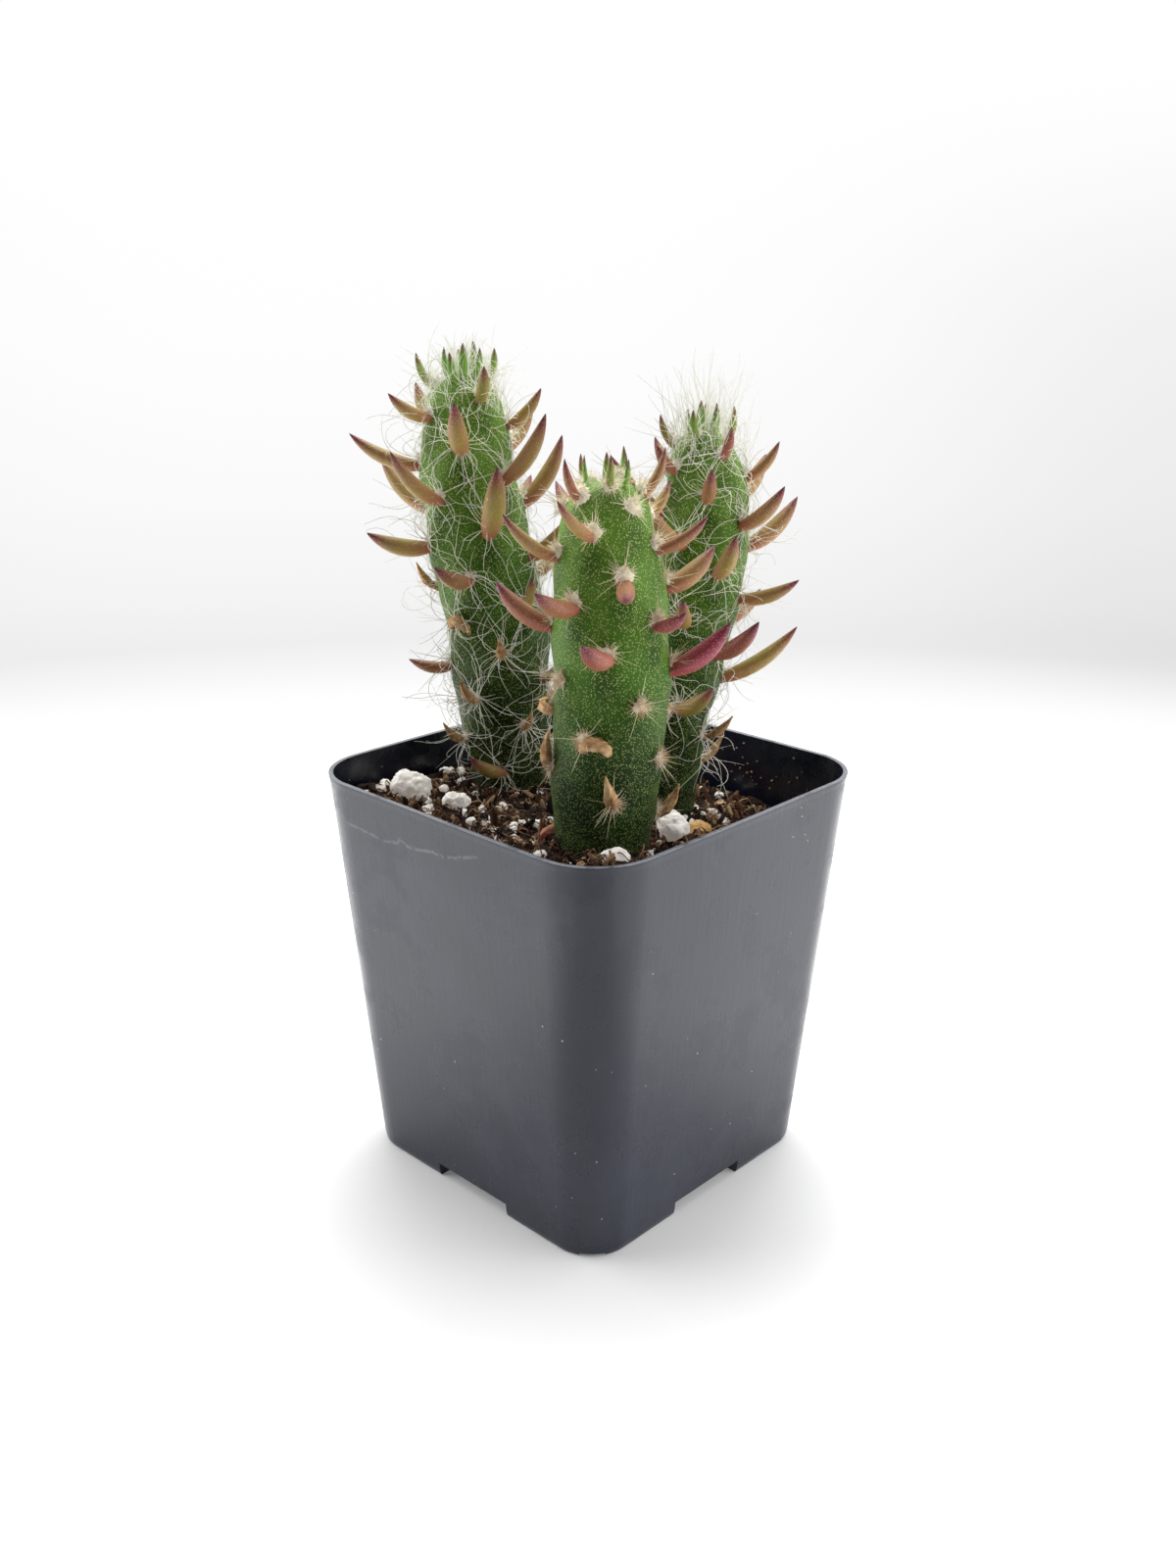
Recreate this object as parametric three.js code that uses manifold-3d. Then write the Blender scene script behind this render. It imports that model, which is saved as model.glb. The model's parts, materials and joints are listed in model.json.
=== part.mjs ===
// A young eves needle cactus with three stems, in a small square nursery pot.
// Millimetres, +Z up. The pot's sides run along X and Y, and one corner of it, at +X and -Y, faces
// the viewer. The finished group is moved so that the middle of its bounding box's underside is at
// the origin.
import * as THREE from "three";
import { mergeVertices } from "three/addons/utils/BufferGeometryUtils.js";
import Module from "manifold-3d";

const wasm = await Module();
wasm.setup();

// Pot
const POT_HEIGHT = 66.9;
const POT_TOP_SIDE = 63.5;
const POT_BASE_SIDE = 52;
const POT_WALL = 0.7;
const POT_FLOOR = 1.1;
const LIP_OUT = 0.35;
const LIP_HEIGHT = 1.2;
const TOP_CORNER_RADIUS = 7.5;
const BASE_CORNER_RADIUS = 4.2;
const FOOT_ROUNDING = 1.4;
const FOOT_TUCK = 0.35;
const CORNER_STEPS = 4;
const CHANNEL_WIDTH = 16;
const CHANNEL_HEIGHT = 2.4;
const DRAIN_RADIUS = 3;
const DRAIN_OFFSET = 15;
const DRAIN_SIDES = 12;
const SLIT_WIDTH = 4;
const SLIT_HEIGHT = 0.5;
const SLIT_LENGTH = 6;

// Potting mix
const SOIL_LEVEL = 59.4;
const SOIL_RINGS = 6;
const SOIL_ALONG = 4;
const BURIED_EDGE = 6;
const GAP = 0.3;

// Stems, as seen from the viewer's side
const VIEW_TURN = THREE.MathUtils.degToRad(-46.43);
const TOWARDS_VIEWER = new THREE.Vector3(Math.cos(VIEW_TURN), Math.sin(VIEW_TURN), 0);
const ACROSS_VIEW = new THREE.Vector3(-TOWARDS_VIEWER.y, TOWARDS_VIEWER.x, 0);
const UP = new THREE.Vector3(0, 0, 1);
const GOLDEN_ANGLE = 137.508;
const STEM_SIDES = 16;
const STEM_RINGS = 34;
const TUBERCLE_RISE = 0.75;
const TUBERCLE_SPREAD = 3.1;
const TUBERCLE_DROP = 1.6;
const TUBERCLE_STRETCH = 0.75;
const STEEPEST_TIP = 2;
const PITCH_HEIGHT = 90;
const HOLE_CLEARANCE = 0.35;

// Leaves, wool and spines
const LEAF_SIDES = 5;
const LEAF_LENGTH = 11.5;
const TIP_LEAF = 4;
const FULL_LEAF = 10;
const CROWN_DROP = 1;
const CROWN_LEAN = 16;
const WITHERED_LENGTH = 4.5;
const ROOT_DEPTH = 1;
const ROOT_SHARE = 0.7;
const GREEN_LEAF = {
  width: 2.9,
  thickness: 2.2,
  bow: 0.3,
  outline: [
    [0.3, 1],
    [0.62, 0.88],
    [0.87, 0.46],
  ],
};
const WITHERED_LEAF = {
  width: 1.7,
  thickness: 1,
  bow: 1.1,
  outline: [
    [0.3, 1],
    [0.7, 0.8],
  ],
};
const TUFT_SIDES = 4;
const TUFT_LIFT = 1;
const SPINE_SIDES = 3;
const SPINE_WIDTH = 0.6;
const SPINE_START = 0.65;

const rad = THREE.MathUtils.degToRad;
const vec = (x, y, z) => new THREE.Vector3(x, y, z);

// A fixed draw between 0 and 1 for each seed and number, so that every run gives the same plant.
function draw(seed, number) {
  const value = Math.sin(seed * 127.1 + number * 311.7) * 43758.5453;
  return value - Math.floor(value);
}

function solidOf(geometry) {
  const bare = geometry.clone();
  bare.deleteAttribute("normal");
  bare.deleteAttribute("uv");
  const merged = mergeVertices(bare);
  return new wasm.Manifold(
    new wasm.Mesh({
      numProp: 3,
      vertProperties: merged.attributes.position.array,
      triVerts: new Uint32Array(merged.index.array),
    }),
  );
}

// A closed skin over rings of points, each turning anticlockwise about the way from the first ring
// to the last. A ring of one point is a tip.
function loft(rings) {
  const positions = [];
  const triangles = [];
  const starts = rings.map((ring) => {
    const start = positions.length / 3;
    ring.forEach((p) => positions.push(p.x, p.y, p.z));
    return start;
  });
  const sides = Math.max(...rings.map((ring) => ring.length));
  const at = (i, j) => starts[i] + (rings[i].length === 1 ? 0 : j % sides);
  for (let i = 0; i + 1 < rings.length; i += 1) {
    for (let j = 0; j < sides; j += 1) {
      if (rings[i].length > 1) triangles.push(at(i, j), at(i, j + 1), at(i + 1, j + 1));
      if (rings[i + 1].length > 1) triangles.push(at(i, j), at(i + 1, j + 1), at(i + 1, j));
    }
  }
  const last = rings.length - 1;
  for (let j = 1; j + 1 < sides; j += 1) {
    if (rings[0].length > 1) triangles.push(at(0, 0), at(0, j + 1), at(0, j));
    if (rings[last].length > 1) triangles.push(at(last, 0), at(last, j), at(last, j + 1));
  }
  const geometry = new THREE.BufferGeometry();
  geometry.setAttribute("position", new THREE.Float32BufferAttribute(positions, 3));
  geometry.setIndex(triangles);
  return geometry;
}

// The outermost body alone: hollows that joining has sealed are filled, and loose scraps dropped.
function oneBody(solid) {
  return solid.decompose().reduce((a, b) => (b.volume() > a.volume() ? b : a));
}

function block(width, depth, height, x, y, z, turn = 0) {
  return solidOf(new THREE.BoxGeometry(width, depth, height).rotateZ(turn).translate(x, y, z));
}

function meshOf(name, solid, material) {
  const { numProp, vertProperties, triVerts } = solid.getMesh();
  const positions = [];
  for (let i = 0; i < vertProperties.length; i += numProp) {
    positions.push(vertProperties[i], vertProperties[i + 1], vertProperties[i + 2]);
  }
  const geometry = new THREE.BufferGeometry();
  geometry.setAttribute("position", new THREE.Float32BufferAttribute(positions, 3));
  geometry.setIndex(Array.from(triVerts));
  geometry.computeVertexNormals();
  const mesh = new THREE.Mesh(geometry, material);
  mesh.name = name;
  return mesh;
}

// Pot: a tapering square tray with rounded corners, on four flat corner feet

// A square with rounded corners. It can have more points along its straight sides.
function squareRing(half, radius, z, along = 0) {
  const points = [];
  for (let corner = 0; corner < 4; corner += 1) {
    const turn = rad(90 * corner);
    const straight = half - radius;
    for (let step = 0; step <= CORNER_STEPS; step += 1) {
      const angle = rad((90 * step) / CORNER_STEPS);
      const x = straight + radius * Math.cos(angle);
      const y = straight + radius * Math.sin(angle);
      points.push(vec(x, y, z).applyAxisAngle(UP, turn));
    }
    for (let step = 1; step <= along; step += 1) {
      const x = straight * (1 - (2 * step) / (along + 1));
      points.push(vec(x, half, z).applyAxisAngle(UP, turn));
    }
  }
  return points;
}

// The pot's outline at a height, inset by a wall. It tucks in at its foot, where the floor starts.
function potRing(z, inset = 0, floor = 0, along = 0) {
  const share = z / POT_HEIGHT;
  const full = THREE.MathUtils.lerp(POT_BASE_SIDE, POT_TOP_SIDE - 2 * LIP_OUT, share) / 2;
  const corner = THREE.MathUtils.lerp(BASE_CORNER_RADIUS, TOP_CORNER_RADIUS, share);
  const low = 1 - Math.min((z - floor) / FOOT_ROUNDING, 1);
  const tuck = FOOT_TUCK * (1 - Math.sqrt(1 - low ** 2));
  return squareRing(full - inset - tuck, corner - inset - tuck, z, along);
}

function lipRing(z) {
  return squareRing(POT_TOP_SIDE / 2, TOP_CORNER_RADIUS + LIP_OUT / 2, z);
}

function cross(width, top) {
  const reach = POT_TOP_SIDE;
  return block(reach, width, 2 * top, 0, 0, 0).add(block(width, reach, 2 * top, 0, 0, 0));
}

function potSolid() {
  const rounding = [0, 0.12, 0.45, 1].map((share) => share * FOOT_ROUNDING);
  const lipStart = POT_HEIGHT - LIP_HEIGHT;
  const outside = [...rounding.map((z) => potRing(z)), potRing(lipStart), lipRing(lipStart + LIP_OUT)];
  const outer = solidOf(loft([...outside, lipRing(POT_HEIGHT)]));
  const inside = rounding.map((z) => potRing(POT_FLOOR + z, POT_WALL, POT_FLOOR));
  const cavity = solidOf(loft([...inside, potRing(POT_HEIGHT + 1, POT_WALL, POT_FLOOR)]));
  const raised = cross(CHANNEL_WIDTH + 2 * POT_FLOOR, CHANNEL_HEIGHT + POT_FLOOR);
  let pot = outer.subtract(cavity.subtract(raised)).subtract(cross(CHANNEL_WIDTH, CHANNEL_HEIGHT));
  const drains = [[0, 0], [DRAIN_OFFSET, 0], [-DRAIN_OFFSET, 0], [0, DRAIN_OFFSET], [0, -DRAIN_OFFSET]];
  drains.forEach(([x, y]) => {
    const drill = new THREE.CylinderGeometry(DRAIN_RADIUS, DRAIN_RADIUS, 4 * CHANNEL_HEIGHT, DRAIN_SIDES);
    pot = pot.subtract(solidOf(drill.rotateX(Math.PI / 2).translate(x, y, 0)));
  });
  for (let corner = 0; corner < 4; corner += 1) {
    const turn = rad(45 + 90 * corner);
    const reach = (POT_BASE_SIDE / 2 - BASE_CORNER_RADIUS) * Math.SQRT2 + BASE_CORNER_RADIUS;
    const x = reach * Math.cos(turn);
    const y = reach * Math.sin(turn);
    pot = pot.subtract(block(SLIT_LENGTH, SLIT_WIDTH, 2 * SLIT_HEIGHT, x, y, 0, turn));
  }
  return pot;
}

// Stems: fleshy, round, with a low tubercle under each areole

// A stem's axis stays in the upright plane across the view through its foot. Each point of its
// profile gives the height, the shift across the view and the stem's radius there. Each leaf that
// the viewer sees gives its number from the tip, its length, its lean from upright and its turn.
class Stem {
  constructor({ profile, seen, ...facts }) {
    Object.assign(this, facts);
    this.top = profile.at(-1)[0];
    this.seen = new Map(seen.map(([number, ...leaf]) => [number, leaf]));
    const points = profile.map(([height, shift, radius]) => vec(shift, radius, height));
    this.curve = new THREE.CatmullRomCurve3(points, false, "centripetal");
    this.samples = this.curve.getPoints(400);
    this.areoles = this.findAreoles();
  }

  centre(shift, height) {
    return this.foot.clone().addScaledVector(ACROSS_VIEW, shift).setZ(height);
  }

  section(height) {
    const next = this.samples.findIndex((p) => p.z >= height);
    const below = this.samples[next - 1];
    const above = this.samples[next];
    const middle = below.clone().lerp(above, (height - below.z) / (above.z - below.z));
    const slope = (above.y - below.y) / (above.z - below.z);
    return { centre: this.centre(middle.x, height), radius: middle.y, slope };
  }

  // The areoles wind down the stem from its tip, each a golden angle on from the one above.
  findAreoles() {
    const { first, turn, pitch, tighten, way } = this.spiral;
    const found = [];
    let height = first;
    while (height > this.bareBelow) {
      const number = found.length;
      const angle = VIEW_TURN + rad(turn + way * GOLDEN_ANGLE * number);
      const { centre, radius, slope } = this.section(height);
      const outward = vec(Math.cos(angle), Math.sin(angle), 0);
      const normal = outward.clone().addScaledVector(UP, Math.min(-slope, STEEPEST_TIP)).normalize();
      found.push({ number, angle, outward, normal, point: centre.addScaledVector(outward, radius) });
      height -= pitch * (1 - tighten * (height - PITCH_HEIGHT));
    }
    found.forEach((areole) => areole.point.addScaledVector(areole.outward, this.rise(areole.point, found)));
    return found;
  }

  // How far the tubercles lift the skin at a point of the plain stem.
  rise(point, areoles) {
    const grown = THREE.MathUtils.smoothstep(point.z, this.bareBelow - 1, this.bareBelow + 4);
    return areoles.reduce((sum, areole) => {
      const offset = point.clone().sub(areole.point);
      offset.z = (offset.z + TUBERCLE_DROP) * TUBERCLE_STRETCH;
      return sum + grown * TUBERCLE_RISE * Math.exp(-offset.lengthSq() / TUBERCLE_SPREAD ** 2);
    }, 0);
  }

  // The stem's own skin, or the plain hole that it stands in.
  skin(clearance = 0) {
    const spaced = this.curve.getSpacedPoints(STEM_RINGS);
    const stations = spaced.filter((p, index) => index === 0 || p.z > SOIL_LEVEL - BURIED_EDGE);
    const rings = stations.map((p, index) => {
      const centre = this.centre(p.x, index === 0 ? p.z - clearance : p.z);
      if (index + 1 === stations.length) return [centre];
      const ring = [];
      for (let side = 0; side < STEM_SIDES; side += 1) {
        const angle = (2 * Math.PI * side) / STEM_SIDES;
        const outward = vec(Math.cos(angle), Math.sin(angle), 0);
        const surface = centre.clone().addScaledVector(outward, p.y);
        ring.push(surface.addScaledVector(outward, clearance || this.rise(surface, this.areoles)));
      }
      return ring;
    });
    return solidOf(loft(rings));
  }
}

// A ring of points that turns anticlockwise about an axis. The face vector is square to the axis.
function ringAbout(centre, axis, face, sides, depth, width) {
  const side = axis.clone().cross(face).normalize();
  const points = [];
  for (let j = 0; j < sides; j += 1) {
    const angle = (2 * Math.PI * (j + 0.5)) / sides;
    const out = face.clone().multiplyScalar((-depth / 2) * Math.cos(angle));
    out.addScaledVector(side, (-width / 2) * Math.sin(angle));
    points.push(out.add(centre));
  }
  return points;
}

function squareTo(axis, vector) {
  return vector.clone().addScaledVector(axis, -vector.dot(axis)).normalize();
}

// A leaf leaves the skin at its base, with its root inside the stem. It bows out from the straight
// line between its base and its tip. A short leaf is slimmer too.
function leafSolid(base, direction, face, length, shape) {
  const slim = Math.min(1, 0.6 + length / 25);
  const ringAt = (s, share) => {
    const centre = base.clone().addScaledVector(direction, s * length);
    if (s > 0) centre.addScaledVector(face, shape.bow * (s * s - s) * length);
    if (share === 0) return [centre];
    const scale = share * slim;
    return ringAbout(centre, direction, face, LEAF_SIDES, shape.thickness * scale, shape.width * scale);
  };
  const outline = [[-ROOT_DEPTH / length, ROOT_SHARE], ...shape.outline, [1, 0]];
  return solidOf(loft(outline.map(([s, share]) => ringAt(s, share))));
}

function spikeSolid(root, direction, sides, width, length) {
  const face = squareTo(direction, UP);
  const tip = root.clone().addScaledVector(direction, length);
  return solidOf(loft([ringAbout(root, direction, face, sides, width, width), [tip]]));
}

// Young leaves at the tip stand nearly upright. They are longer and lean out further down the stem.
function leafPlan(stem, number) {
  const seen = stem.seen.get(number);
  if (seen) return { length: seen[0], lean: seen[1], turn: seen[2] ?? 0 };
  const age = Math.min(number / FULL_LEAF, 1);
  const withered = stem.withered.includes(number);
  const usual = withered ? WITHERED_LENGTH : THREE.MathUtils.lerp(TIP_LEAF, LEAF_LENGTH, age);
  return {
    length: usual * (0.88 + 0.24 * draw(stem.seed, number)),
    lean: THREE.MathUtils.lerp(10, withered ? 80 : 48, age) + 10 * draw(stem.seed + 1, number),
    turn: 16 * (draw(stem.seed + 2, number) - 0.5),
  };
}

function leafAt(stem, areole) {
  const { length, lean, turn } = leafPlan(stem, areole.number);
  const heading = areole.angle + rad(turn);
  const direction = UP.clone().multiplyScalar(Math.cos(rad(lean)));
  direction.add(vec(Math.cos(heading), Math.sin(heading), 0).multiplyScalar(Math.sin(rad(lean))));
  const face = squareTo(direction, UP.clone().sub(areole.outward));
  const shape = stem.withered.includes(areole.number) ? WITHERED_LEAF : GREEN_LEAF;
  return leafSolid(areole.point, direction, face, length, shape);
}

// The wool tuft sits just over the leaf's root, with its spines fanned out of it.
function tuftAt(stem, areole) {
  const { number, normal, outward, point } = areole;
  const side = UP.clone().cross(outward);
  const seat = point.clone().addScaledVector(UP, TUFT_LIFT).addScaledVector(normal, -ROOT_DEPTH / 2);
  let tuft = spikeSolid(seat, normal, TUFT_SIDES, 2 * stem.tuftRadius, stem.tuftRadius + ROOT_DEPTH);
  for (let index = 0; index < stem.spines; index += 1) {
    const chance = (offset) => draw(stem.seed + offset, 2 * number + index);
    const fan = ((number + index) % 2 === 0 ? 1 : -1) * rad(18 + 30 * chance(3));
    const raised = rad(8 + 42 * chance(4));
    const direction = normal.clone().multiplyScalar(Math.cos(raised)).addScaledVector(UP, Math.sin(raised));
    direction.addScaledVector(side, Math.tan(fan)).normalize();
    const length = stem.spineLength * (0.8 + 0.4 * chance(5));
    const root = seat.clone().addScaledVector(normal, SPINE_START);
    tuft = tuft.add(spikeSolid(root, direction, SPINE_SIDES, SPINE_WIDTH, length));
  }
  return tuft;
}

// The youngest leaves crowd upright round the growing tip.
function crownLeaf(stem, number) {
  const share = (number + 0.5) / stem.crown;
  const angle = rad(GOLDEN_ANGLE * (number + 1) + 360 * draw(stem.seed + 6, 0));
  const outward = vec(Math.cos(angle), Math.sin(angle), 0);
  const { centre, radius } = stem.section(stem.top - CROWN_DROP * (0.3 + share));
  const base = centre.addScaledVector(outward, radius * 0.8);
  const lean = rad(CROWN_LEAN * share);
  const direction = UP.clone().multiplyScalar(Math.cos(lean)).addScaledVector(outward, Math.sin(lean));
  const length = stem.crownLeaf * (0.8 + 0.4 * draw(stem.seed + 7, number));
  return leafSolid(base, direction, squareTo(direction, outward.negate()), length, GREEN_LEAF);
}

function stemSolid(stem) {
  let solid = stem.skin();
  for (let number = 0; number < stem.crown; number += 1) solid = solid.add(crownLeaf(stem, number));
  stem.areoles.forEach((areole) => {
    if (!stem.fallen.includes(areole.number)) solid = solid.add(leafAt(stem, areole));
    solid = solid.add(tuftAt(stem, areole));
  });
  return oneBody(solid);
}

// Potting mix: it fills the pot, with an uneven top, a hole for each stem and a pit for each stone

function soilHeight(x, y) {
  const across = x * ACROSS_VIEW.x + y * ACROSS_VIEW.y;
  const near = x * TOWARDS_VIEWER.x + y * TOWARDS_VIEWER.y;
  const hill = (middleX, middleY, spread) =>
    Math.exp(-((x - middleX) ** 2 + (y - middleY) ** 2) / spread ** 2);
  const lumps = 0.45 * Math.sin(0.33 * x + 1.3) * Math.sin(0.37 * y) + 0.25 * Math.sin(0.5 * x - 0.43 * y);
  return SOIL_LEVEL + 0.06 * near - 0.07 * across + 1.1 * hill(15, -13, 10) - 3 * hill(25, 20, 12) + lumps;
}

function soilSolid(stems, stones) {
  const clear = POT_WALL + GAP;
  const floor = POT_FLOOR + GAP;
  const ringAt = (z) => potRing(z, clear, floor, SOIL_ALONG);
  const rim = ringAt(SOIL_LEVEL - BURIED_EDGE);
  const top = [];
  for (let k = SOIL_RINGS; k > 0; k -= 1) {
    const share = k / SOIL_RINGS;
    top.push(rim.map((p) => vec(p.x * share, p.y * share, soilHeight(p.x * share, p.y * share))));
  }
  const foot = [ringAt(floor), ringAt(floor + 0.3 * FOOT_ROUNDING), ringAt(floor + FOOT_ROUNDING)];
  let soil = solidOf(loft([...foot, ...top, [vec(0, 0, soilHeight(0, 0))]]));
  soil = soil.subtract(cross(CHANNEL_WIDTH + 2 * clear + POT_FLOOR, CHANNEL_HEIGHT + POT_FLOOR + GAP));
  stems.forEach((stem) => {
    soil = soil.subtract(stem.skin(HOLE_CLEARANCE));
  });
  stones.forEach((stone) => {
    soil = soil.subtract(stoneSolid(stone, GAP));
  });
  return oneBody(soil);
}

// Stones: pale lumps that lie half sunk in the mix

function stoneSolid({ x, y, size, sink, seed }, clearance = 0) {
  const lump = new THREE.IcosahedronGeometry(1, size > 3 ? 1 : 0);
  lump.deleteAttribute("normal");
  lump.deleteAttribute("uv");
  const merged = mergeVertices(lump);
  const points = merged.attributes.position;
  for (let i = 0; i < points.count; i += 1) {
    const bulge = (0.8 + 0.3 * draw(seed, i)) * (size / 2) + clearance;
    points.setXYZ(i, points.getX(i) * bulge, points.getY(i) * bulge, points.getZ(i) * bulge);
  }
  merged.scale(1, 0.85, 0.75);
  merged.rotateZ(2 * Math.PI * draw(seed, 99));
  merged.translate(x, y, soilHeight(x, y) + size * (0.15 - sink));
  return solidOf(merged);
}

const stems = {
  left: new Stem({
    seed: 11,
    foot: vec(-19.6, 0.9, 0),
    spiral: { first: 126.4, turn: 116, pitch: 1.54, tighten: 0, way: 1 },
    crown: 6,
    crownLeaf: 3.4,
    profile: [
      [36, 0, 5],
      [48, 0, 5.6],
      [60, 0, 6],
      [74, -0.9, 7.2],
      [88, -1.8, 7.9],
      [101, -4.4, 7.8],
      [112, -5.8, 7],
      [119, -6.2, 6],
      [124, -6.3, 4.7],
      [126.9, -6.3, 2.8],
      [128, -6.3, 0],
    ],
    bareBelow: 62.5,
    seen: [
      [0, 4.5, 14],
      [1, 6, 28],
      [2, 9, 48, -20],
      [4, 8, 60],
      [5, 8, 42],
      [7, 11.5, 46],
      [8, 10, 45],
      [9, 12, 65],
      [10, 13.5, 38],
      [12, 14, 52],
      [13, 12.5, 31],
      [14, 13, 50],
      [15, 12, 26],
      [17, 10.5, 74],
      [18, 11, 44],
      [20, 9, 66, -22],
      [21, 8, 45],
      [23, 6, 24],
      [30, 7, 80, -10],
      [31, 6, 44],
      [41, 7.5, 58, -45],
    ],
    withered: [22, 25, 28, 33, 36, 38, 39],
    fallen: [24, 26, 27, 29, 32, 34, 35, 37, 40],
    spines: 1,
    spineLength: 5,
    tuftRadius: 0.9,
  }),
  centre: new Stem({
    seed: 23,
    foot: vec(14.8, -12.9, 0),
    spiral: { first: 116.9, turn: 140, pitch: 1.5, tighten: 0.015, way: -1 },
    crown: 5,
    crownLeaf: 1.9,
    profile: [
      [36, 0, 5.8],
      [48, 0, 6.4],
      [60, 0, 7],
      [74, 0.8, 7.6],
      [87, 1.3, 7.9],
      [97, 1, 7.6],
      [104, 0.6, 6.8],
      [110, 0.4, 5.2],
      [114, 0.6, 3.6],
      [116.6, 0.6, 1.9],
      [117.4, 0.6, 0],
    ],
    bareBelow: 64.5,
    seen: [
      [0, 2.5, 8],
      [1, 3, 10],
      [2, 3.2, 16],
      [3, 6.5, 24],
      [4, 6.5, 24],
      [5, 4, 30],
      [8, 7.5, 36],
      [9, 10, 50, -24],
      [11, 9, 54],
      [12, 10, 50],
      [13, 8, 36],
      [14, 7, 96, -14],
      [16, 9, 50],
      [17, 9, 67],
      [19, 6, 62],
      [20, 10, 50],
      [22, 8, 62, -24],
      [24, 11, 48],
      [28, 6, 88, 20],
      [33, 6, 30],
      [35, 6, 40, -24],
    ],
    withered: [28, 30, 33, 35, 37],
    fallen: [6, 7, 15, 21, 23, 25, 26, 27, 29, 31, 32, 34, 36, 38, 39, 40],
    spines: 2,
    spineLength: 4,
    tuftRadius: 1.2,
  }),
  right: new Stem({
    seed: 37,
    foot: vec(4.5, 12, 0),
    spiral: { first: 119.2, turn: 336, pitch: 1.63, tighten: 0.01, way: 1 },
    crown: 5,
    crownLeaf: 3.2,
    profile: [
      [34, 0, 4.8],
      [45, 0, 5.3],
      [57, 0, 5.8],
      [70, 0.8, 5.8],
      [82, 3.3, 5.9],
      [95, 5.6, 6.1],
      [105, 6.4, 6],
      [112, 6.2, 5.2],
      [117, 5.7, 3.6],
      [119.8, 5.5, 2],
      [120.6, 5.5, 0],
    ],
    bareBelow: 61.5,
    seen: [
      [0, 4.5, 20],
      [1, 5, 12],
      [2, 5, 28],
      [3, 5, 22],
      [5, 5.5, 40],
      [6, 7.5, 40],
      [8, 9, 52, 6],
      [10, 12, 44],
      [11, 10, 48],
      [14, 11, 46],
      [16, 10, 44],
      [19, 10, 68],
      [21, 8, 50, 10],
      [22, 8, 56],
      [24, 12, 54],
      [27, 14.5, 54],
      [29, 10, 56, 30],
    ],
    withered: [18, 26, 32, 35, 37],
    fallen: [20, 23, 25, 28, 30, 31, 33, 34, 36],
    spines: 1,
    spineLength: 4.5,
    tuftRadius: 0.8,
  }),
};

// Each stone's place and width, with the share of its width that it is sunk further in.
const perlite = [
  [-23.2, -17.6, 7.5, 0],
  [-12.6, -17.4, 4, 0],
  [17.4, 0.6, 5.1, 0],
  [23.6, -19.4, 3.1, 0.1],
  [-27.4, -6.8, 2, 0],
  [-25.6, -4.6, 2, 0],
  [-19.8, -13.7, 1.9, 0],
  [-27, -20.1, 1.9, 0],
  [-14, -21.7, 2.2, 0],
  [-5, -20.9, 1.8, 0],
  [-5.5, -16, 1.8, 0],
  [0.5, -17.2, 1.8, 0],
  [2.9, -14.3, 1.8, 0],
  [12.6, -23.5, 2, 0],
  [17.3, 14.3, 1.9, 0],
];
const stones = perlite.map(([x, y, size, sink], index) => ({ x, y, size, sink, seed: 50 + index }));
const pebble = { x: 17.5, y: 6.6, size: 3.8, sink: 0, seed: 80 };

const finish = (color, roughness) => new THREE.MeshStandardMaterial({ color, roughness, metalness: 0 });
const plastic = finish(0x3a3c42, 0.5);
const mix = finish(0x3b2e26, 0.95);
const greenSkin = finish(0x6b8a45, 0.55);
const whiteStone = finish(0xe4e1d8, 0.9);
const amberStone = finish(0xb98a55, 0.7);

const plant = new THREE.Group();
plant.add(meshOf("pot", potSolid(), plastic));
plant.add(meshOf("soil", soilSolid(Object.values(stems), [...stones, pebble]), mix));
Object.entries(stems).forEach(([name, stem]) => {
  plant.add(meshOf("stem_" + name, stemSolid(stem), greenSkin));
});
stones.forEach((stone, index) => {
  plant.add(meshOf("perlite_" + (index + 1), stoneSolid(stone), whiteStone));
});
plant.add(meshOf("pebble_tan", stoneSolid(pebble), amberStone));

// The origin goes under the middle of the whole plant, leaves included.
const extent = new THREE.Box3().setFromObject(plant);
const middle = extent.getCenter(vec(0, 0, 0));
plant.position.set(-middle.x, -middle.y, -extent.min.z);

const object = new THREE.Group();
object.add(plant);

export default object;
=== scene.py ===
# %% [markdown]
# # A young cactus in a nursery pot
#
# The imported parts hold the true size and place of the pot, the potting mix, the stems and the
# stones. This notebook dresses them. Each plain part is replaced by finer pieces that keep its
# form, and each piece gets a finish that is made of shader nodes alone.

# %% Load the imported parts
import functools
import json
import math

import bmesh
import bpy
import numpy as np
from mathutils import Matrix, Vector, noise

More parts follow.
